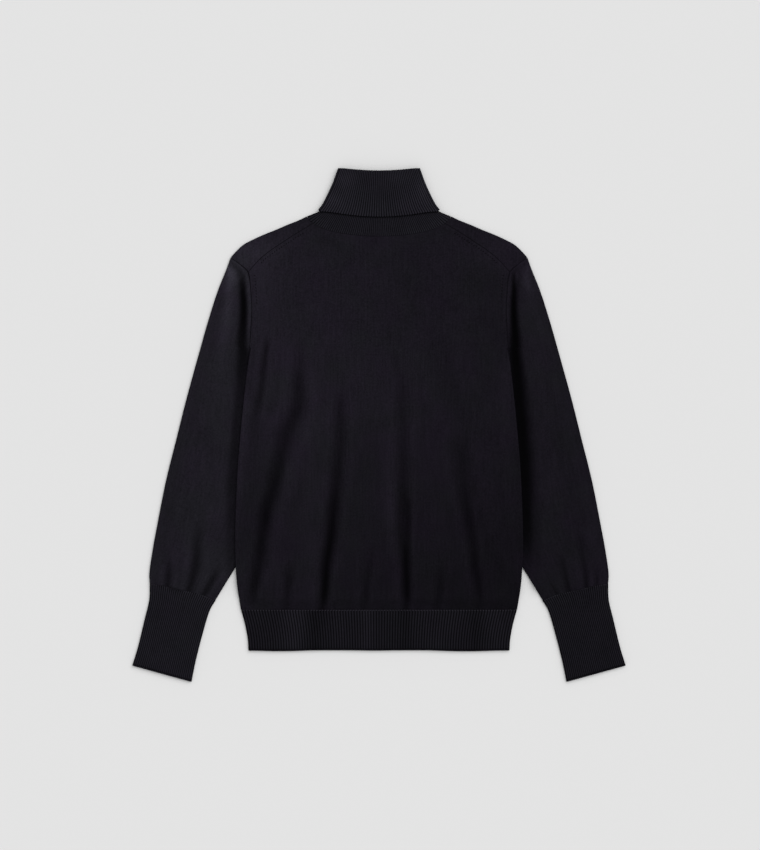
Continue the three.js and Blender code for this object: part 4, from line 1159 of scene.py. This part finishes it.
# For each tube: the ribs across the side that shows and their height, the mesh's rings, its columns to a rib
# and its columns beneath, its own waves or swell, and its painted light and shade
hem = {"ribs": 98, "high": 0.9, "rings": 18, "lastWide": 0.93, "columns": 8, "beneath": 40, "upRing": 5,
       "seamGap": 0.18, "edgeWave": 1.2, "edgeWaves": ((31, 0.4), (67, 0)), "sideRise": 14, "swell": 0.5,
       "waveHigh": 1.7, "waves": ((23, 0.7), (41, -1.1)), "waveSpan": (-336, -285), "foldsTake": 0.8,
       "foldsAt": -275.0, "tone": 0.98}
hemPlaces = table("x wide gain", [
    (-128, 20, 0.35), (-96, 12, -0.25), (-60, 14, 0.12), (-18, 9, 0.3), (40, 10, -0.2), (90, 26, 0.12),
    (145, 9, -0.2), (175, 14, 0.15),
])


def hemTone(x, y):
    tone = np.full(len(x), hem["tone"])
    for spot in hemPlaces:
        tone = tone * (1 + spot["gain"] * np.exp(-((x - spot["x"]) / spot["wide"]) ** 2))
    return tone


def twoWaves(x, waves):
    # two sines multiplied, each with its pitch and its shift
    (pitch, shift), (otherPitch, otherShift) = waves
    return np.sin(x / pitch + shift) * np.sin(x / otherPitch + otherShift)


def hemWave(x, y):
    # the hem's upper layer carries the ends of the body's folds
    soft = 0.5 + 0.5 * twoWaves(x, hem["waves"])
    kept = unfolded(bodyFoldLines, x, np.full_like(x, hem["foldsAt"]), hem["foldsTake"])
    return smoothstep(y, *hem["waveSpan"]) * (hem["swell"] + hem["waveHigh"] * soft * kept)


def makeHem():
    places, lowerPlaces = ribPlaces(hem), np.linspace(0, 1, hem["beneath"])
    start, end = cloth["hemSeamY"] - hem["seamGap"], cloth["hemEndY"]
    shares = endShares(hem)
    rings = []
    for share in shares:
        y = lerp(start, end, share)
        half = float(hemHalfAt(y)) - cloth["ribKnit"] / 2 - cloth["foldReach"]
        x = lerp(-half, half, places)
        edgeWave = share**3 * hem["edgeWave"] * twoWaves(x, hem["edgeWaves"])
        inward = np.clip((half - np.abs(x)) / hem["sideRise"], 0, 1)
        upper = np.column_stack([x, y + edgeWave, ribHigh + hemWave(x, y) * inward])
        lowX = lerp(-half, half, lowerPlaces)
        lower = np.column_stack([lowX, np.full(len(lowX), y), np.full(len(lowX), ribLow)])
        rings.append(flatRing(upper, lower, bearing(180), bearing(0), cloth["foldReach"]))
    length = start - end
    return ribbedTube("hemRib", rings, hem, hem["upRing"], hemTone, edgeMasks(shares, length),
                      edgeTone(shares, length))


cuff = {"ribs": 30, "high": 0.75, "rings": 24, "lastWide": 0.95, "columns": 8, "beneath": 30, "upRing": 5,
        "swell": 1.5, "swellFrom": 0.15, "swellOver": 0.75, "swellPower": 0.7, "toneLeft": 1.38,
        "toneRight": 1.06}


def cuffSwell(share, places):
    along = math.sin(math.pi * min(1, cuff["swellFrom"] + share * cuff["swellOver"]))
    return cuff["swell"] * along * np.sin(math.pi * places) ** cuff["swellPower"]


def makeCuff(name, side):
    outer, inner, start = Path(cuffOutline), Path(cuffInside), Path(cuffSeam)
    places, lowerPlaces = ribPlaces(cuff), np.linspace(0, 1, cuff["beneath"])
    shares = endShares(cuff)
    rings = []
    for share in shares:
        near, far = outer.at(share), inner.at(share)
        span = np.linalg.norm(far - near)
        margin = (cloth["ribKnit"] / 2 + cloth["foldReach"]) / span

        def place(along):
            t = lerp(margin, 1 - margin, along)
            bend = start.at(t) - lerp(start.at(0.0), start.at(1.0), t[:, None])
            return (lerp(near, far, t[:, None]) + bend * (1 - share)) * [side, 1]

        upper = withHeight(place(places), ribHigh + cuffSwell(share, places))
        across = np.array([*((far - near) / span), 0]) * [side, 1, 1]
        rings.append(flatRing(upper, withHeight(place(lowerPlaces), ribLow), -across, across,
                              cloth["foldReach"]))
    # painted light: the left cuff is painted paler than the right
    gain = cuff["toneLeft"] if side < 0 else cuff["toneRight"]
    return ribbedTube(name, rings, cuff, cuff["upRing"], lambda x, y: np.full(len(x), gain),
                      edgeMasks(shares, outer.length), edgeTone(shares, outer.length))


stand = {"ribs": 70, "high": 0.6, "shownRings": 22, "hiddenRings": 12, "columns": 6, "beneath": 30,
         "upRing": 4, "tone": 1.32, "sides": 0.12, "shadow": 0.75, "shadowSpan": (-3.4, -0.8)}
turnover = {"ribs": 46, "high": 0.95, "rings": 30, "columns": 10, "beneath": 30, "upRing": -5, "tone": 1.55,
            "sides": 0.5, "turnStep": 15, "turnEnd": 165, "ribsFrom": (60, 150)}
# Spots of painted highlight (gain above 0) and painted shade on the turnover
collarPaintedSpots = table("x y wide tall gain", [
    (-50, 368, 12, 12, 0.3), (64, 350, 10, 16, 0.3), (-68, 338, 12, 9, 0.25), (6, 345, 22, 12, -0.12),
    (-22, 366, 9, 10, -0.1), (28, 372, 14, 8, 0.15), (38, 328, 16, 8, 0.12),
])


def turnoverTone(x, y):
    # painted highlight towards the sides, and spots of painted highlight and shade
    aside = (x / turnoverLevels[-1]["x"]) ** 2
    return (turnover["tone"] + turnover["sides"] * aside) * paintedSpots(collarPaintedSpots, x, y)


def levelAt(levels, row):
    return {column: float(tableLine(levels, "row", column)(row)) for column in levels[0]}


def collarRing(level, reach, places, beneath, backZ, frontZ):
    half, backY, frontY = levelLines(level, reach)
    share = lerp(-1, 1, places)
    x, y = share * half, backY(share)
    upper = np.column_stack([x, y, np.broadcast_to(backZ(x, y), len(x))])
    share = np.linspace(-1, 1, beneath)
    x, y = share * half, frontY(share)
    lower = np.column_stack([x, y, np.broadcast_to(frontZ(x, y), len(x))])
    return flatRing(upper, lower, bearing(level["turn"], -1), bearing(level["turn"]), reach)


def standRing(row, places):
    return collarRing(levelAt(standLevels, row), cloth["foldReach"], places, stand["beneath"],
                      lambda x, y: ribHigh + neckLift(x, y + collar["liftAhead"]),
                      lambda x, y: ribLow + neckLift(x, y))


def standTone(x, y):
    # a painted highlight at the sides, and painted shadow under the turnover's edge
    half, freeEdge = levelLines(turnoverLevels[-1], collar["turnoverReach"])[:2]
    shadow = smoothstep(y - freeEdge(np.clip(x / half, -1, 1)), *stand["shadowSpan"])
    return (stand["tone"] + stand["sides"] * (x / neckHalf) ** 2) * (1 - stand["shadow"] * shadow)


def makeStand():
    places, last = ribPlaces(stand), standLevels[-1]["row"]
    rows = np.concatenate([np.linspace(0, 1, stand["shownRings"]),
                           np.linspace(1, last, stand["hiddenRings"] + 1)[1:]])
    rings = [standRing(row, places) for row in rows]
    return ribbedTube("collarStand", rings, stand, stand["upRing"], standTone)


def makeTurnover():
    places = ribPlaces(turnover)
    hang = [collarRing(levelAt(turnoverLevels, row), collar["turnoverReach"], places, turnover["beneath"],
                       lambda x, y: turnoverHigh, lambda x, y: ribLow)
            for row in np.linspace(0, turnoverLevels[-1]["row"], turnover["rings"])]
    top = standRing(standLevels[-1]["row"], places)
    rings, masks = [top + [0, collar["turnoverGap"], 0]], [0]
    for angle in range(0, turnover["turnEnd"] + 1, turnover["turnStep"]):
        turn = math.radians(angle)
        across = (1 - math.cos(turn)) / 2
        ring = lerp(top + [0, collar["turnRadius"], 0], hang[0], across)
        rings.append(ring + [0, collar["turnRadius"] * math.sin(turn), 0])
        masks.append(float(smoothstep(angle, *turnover["ribsFrom"])))
    rings += hang
    masks += [1] * len(hang)
    return ribbedTube("collarTurnover", rings, turnover, len(rings) + turnover["upRing"], turnoverTone, masks)


# Sewing: lines of stitches and rolled edges that lie on the cloth
def lineMesh(name, lines):
    mesh = bpy.data.meshes.new(name)
    points, edges = [], []
    for line in lines:
        first = len(points)
        points.extend((np.array(line) * mm).tolist())
        edges.extend((first + k, first + k + 1) for k in range(len(line) - 1))
    mesh.from_pydata(points, edges, [])
    piece = bpy.data.objects.new(name, mesh)
    bpy.context.scene.collection.objects.link(piece)
    return piece


def sewn(name, lines, tree, values, slot):
    piece = lineMesh(name, lines)
    runTree(piece, tree, values)
    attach(piece, "root")
    return piece


def onBack(plan, above):
    return withHeight(plan, backHeight(plan[:, 0], plan[:, 1]) + above)


def bothSides(line):
    return [line, line * [-1, 1, 1]]


# Stitches: the tree's own inputs, in metres, and Lean in radians
stitch = {
    "hem": {"Pitch": 0.0042, "Length": 0.0028, "Width": 0.0013, "Height": 0.0010, "Lean": 0.0},
    "cuff": {"Pitch": 0.0030, "Length": 0.0018, "Width": 0.0011, "Height": 0.0009, "Lean": 0.0},
    "linking": {"Pitch": 0.0021, "Length": 0.0016, "Width": 0.0007, "Height": 0.0006, "Lean": 0.5},
    "fashioning": {"Pitch": 0.0041, "Length": 0.0028, "Width": 0.0013, "Height": 0.0009, "Lean": 0.9},
}
# Where the stitches run: how far above the cloth, between which shares of a seam and how far beside it
loopsAt = {"hemHalf": 203, "hemBelow": 0.6, "hemHigh": 1.5, "hemWaveBelow": 1.0, "cuffSpan": (0.02, 0.97),
           "cuffBelow": 1.4, "cuffHigh": 2.0}
# Points along each line that carries sewing
linePoints = {"hemLoops": 200, "cuffLoops": 60, "cuff": 90, "neck": 180, "shoulder": 90, "tip": 40,
              "armhole": 120, "underarm": 40, "tack": 8, "marks": 50}
linesAt = {"above": 0.75,
           "linkingShoulder": (0.03, 0.98, -2.4), "linkingArmhole": (jointShare + 0.01, 0.97, -2.6),
           "fashioningShoulder": (0.17, 0.8, -5.2), "fashioningArmhole": (jointShare + 0.05, 0.55, -8)}
# Rolled seams: the roll's radius in metres, and where it lies
seamRadius = {"neck": 0.0008, "shoulder": 0.0007, "armhole": 0.00065, "underarm": 0.0014, "cuff": 0.0008}
seamAt = {"above": 0.42, "aside": -0.25, "neckEnd": 1, "tipFrom": 0.01, "underarmFrom": 119, "underarmTo": 84,
          "underarmHigh": 1.95, "tackFrom": 190.5, "tackTo": 196.5, "tackBelow": 0.2,
          "cuffSpan": (0.004, 0.996), "cuffBelow": 0.1}


def besideSeam(path, place, count):
    first, last, aside = place
    return onBack(path.beside(np.linspace(first, last, count), aside), linesAt["above"])


def rolled(name, lines, radius, slot):
    return sewn(name, lines, rollTree, {"Radius": radius, "Material": seamYarn}, slot)


def makeLoops():
    # the rows of loops that join the ribs to the plain knit
    x = np.linspace(-loopsAt["hemHalf"], loopsAt["hemHalf"], linePoints["hemLoops"])
    hemLine = np.column_stack([x, np.full(len(x), cloth["hemSeamY"] - loopsAt["hemBelow"])])
    wave = hemWave(x, np.full(len(x), cloth["hemSeamY"] - loopsAt["hemWaveBelow"]))
    hemLoops = sewn("hemLoops", [withHeight(hemLine, wave + ribHigh + loopsAt["hemHigh"])], stitchTree,
                    stitch["hem"] | {"Material": loopHighlightYarn}, "rib_knit")
    shares = np.linspace(*loopsAt["cuffSpan"], linePoints["cuffLoops"])
    cuffLine = Path(cuffSeam).at(shares) - [0, loopsAt["cuffBelow"]]
    cuffLoops = []
    for side, label in ((-1, "cuffLoopsLeft"), (1, "cuffLoopsRight")):
        line = withHeight(cuffLine, ribHigh + loopsAt["cuffHigh"]) * [side, 1, 1]
        cuffLoops.append(sewn(label, [line], stitchTree, stitch["cuff"] | {"Material": loopHighlightYarn}, "rib_knit"))
    return hemLoops, cuffLoops


def makeCuffSeams():
    joined = np.linspace(*seamAt["cuffSpan"], linePoints["cuff"])
    plan = Path(cuffSeam).at(joined) - [0, seamAt["cuffBelow"]]
    return rolled("cuffSeams", bothSides(withHeight(plan, ribHigh + cuffSwell(0, joined))),
                  seamRadius["cuff"], "rib_knit")


def makeSeams():
    # rolled seams that close the joins between the panels
    above, aside = seamAt["above"], seamAt["aside"]
    neckX = np.linspace(-neckHalf + seamAt["neckEnd"], neckHalf - seamAt["neckEnd"], linePoints["neck"])
    neck = [onBack(np.column_stack([neckX, neckBackY(np.abs(neckX) / neckHalf) + aside]), above)]
    shoulders = bothSides(onBack(seamOfShoulder.at(np.linspace(0, 1, linePoints["shoulder"])), above))
    tips = armhole.beside(np.linspace(seamAt["tipFrom"], jointShare, linePoints["tip"]), aside)
    armholes = bothSides(withHeight(tips, stripHeight(tips[:, 0], tips[:, 1]) + above))
    edgeOfPanel = armhole.beside(np.linspace(jointShare, 1, linePoints["armhole"]), aside)
    armholes += bothSides(onBack(edgeOfPanel, above))
    y = np.linspace(seamAt["underarmFrom"], seamAt["underarmTo"], linePoints["underarm"])
    between = (halfAt(y) + np.maximum(tuckedAt(y), halfAt(y))) / 2
    tack = np.linspace(seamAt["tackFrom"], seamAt["tackTo"], linePoints["tack"])
    underarms = []
    for plan in ((between, y), (tack, np.full(len(tack), cloth["underarmY"] - seamAt["tackBelow"]))):
        underarms += bothSides(withHeight(np.column_stack(plan), seamAt["underarmHigh"]))
    runs = {"neck": neck, "shoulder": shoulders, "armhole": armholes, "underarm": underarms}
    return [rolled(label + "Seam", lines, seamRadius[label], "jersey_knit") for label, lines in runs.items()]


def makeLines():
    # the linking line beside the seams, and the marks where the panels were narrowed
    made = []
    for name, label, yarn, counts in (("linkingLines", "linking", linkYarn, ("shoulder", "armhole")),
                                      ("fashioningMarks", "fashioning", darkYarn, ("marks", "marks"))):
        onShoulder, onArmhole = [linePoints[count] for count in counts]
        lines = bothSides(besideSeam(seamOfShoulder, linesAt[label + "Shoulder"], onShoulder))
        lines += bothSides(besideSeam(armhole, linesAt[label + "Armhole"], onArmhole))
        made.append(sewn(name, lines, stitchTree, stitch[label] | {"Material": yarn}, "jersey_knit"))
    return made


print("sizes ready")
backPanel, backArea = makeBackPanel()
print("back panel made, faces", len(backPanel.data.polygons))
frontPanel, frontArea = makeFrontPanel()
print("front panel made, faces", len(frontPanel.data.polygons))
sleeveLeft, leftArea = makeSleeve("sleeveLeft", -1, leftSleeve)
sleeveRight, rightArea = makeSleeve("sleeveRight", 1, rightSleeve)
print("sleeves made, faces", len(sleeveLeft.data.polygons))
cuffLeft, cuffArea = makeCuff("cuffLeft", -1)
cuffRight, cuffArea = makeCuff("cuffRight", 1)
hemRib, hemArea = makeHem()
print("cuffs and hem made, faces", len(cuffLeft.data.polygons), len(hemRib.data.polygons))
collarStand, standArea = makeStand()
collarTurnover, turnoverArea = makeTurnover()
print("collar made, faces", len(collarStand.data.polygons), len(collarTurnover.data.polygons))
hemLoops, (cuffLoopsLeft, cuffLoopsRight) = makeLoops()
cuffSeams = makeCuffSeams()
neckSeam, shoulderSeams, armholeSeams, underarmSeams = makeSeams()
linkingLines, fashioningMarks = makeLines()
print("sewing made")

declare(backPanel, "back_panel", (0.440, 0.585), backArea)
declare(frontPanel, "front_panel", (0.460, 0.620), frontArea)
declare(sleeveLeft, "sleeve_left", (0.330, 0.505), leftArea)
declare(sleeveRight, "sleeve_right", (0.330, 0.505), rightArea)
declare(cuffLeft, "cuff_left", (0.206, 0.128), cuffArea)
declare(cuffRight, "cuff_right", (0.206, 0.128), cuffArea)
declare(hemRib, "hem_rib", (0.826, 0.061), hemArea)
declare(collarStand, "collar_stand", (0.492, 0.095), standArea)
declare(collarTurnover, "collar_turnover", (0.399, 0.074), turnoverArea)
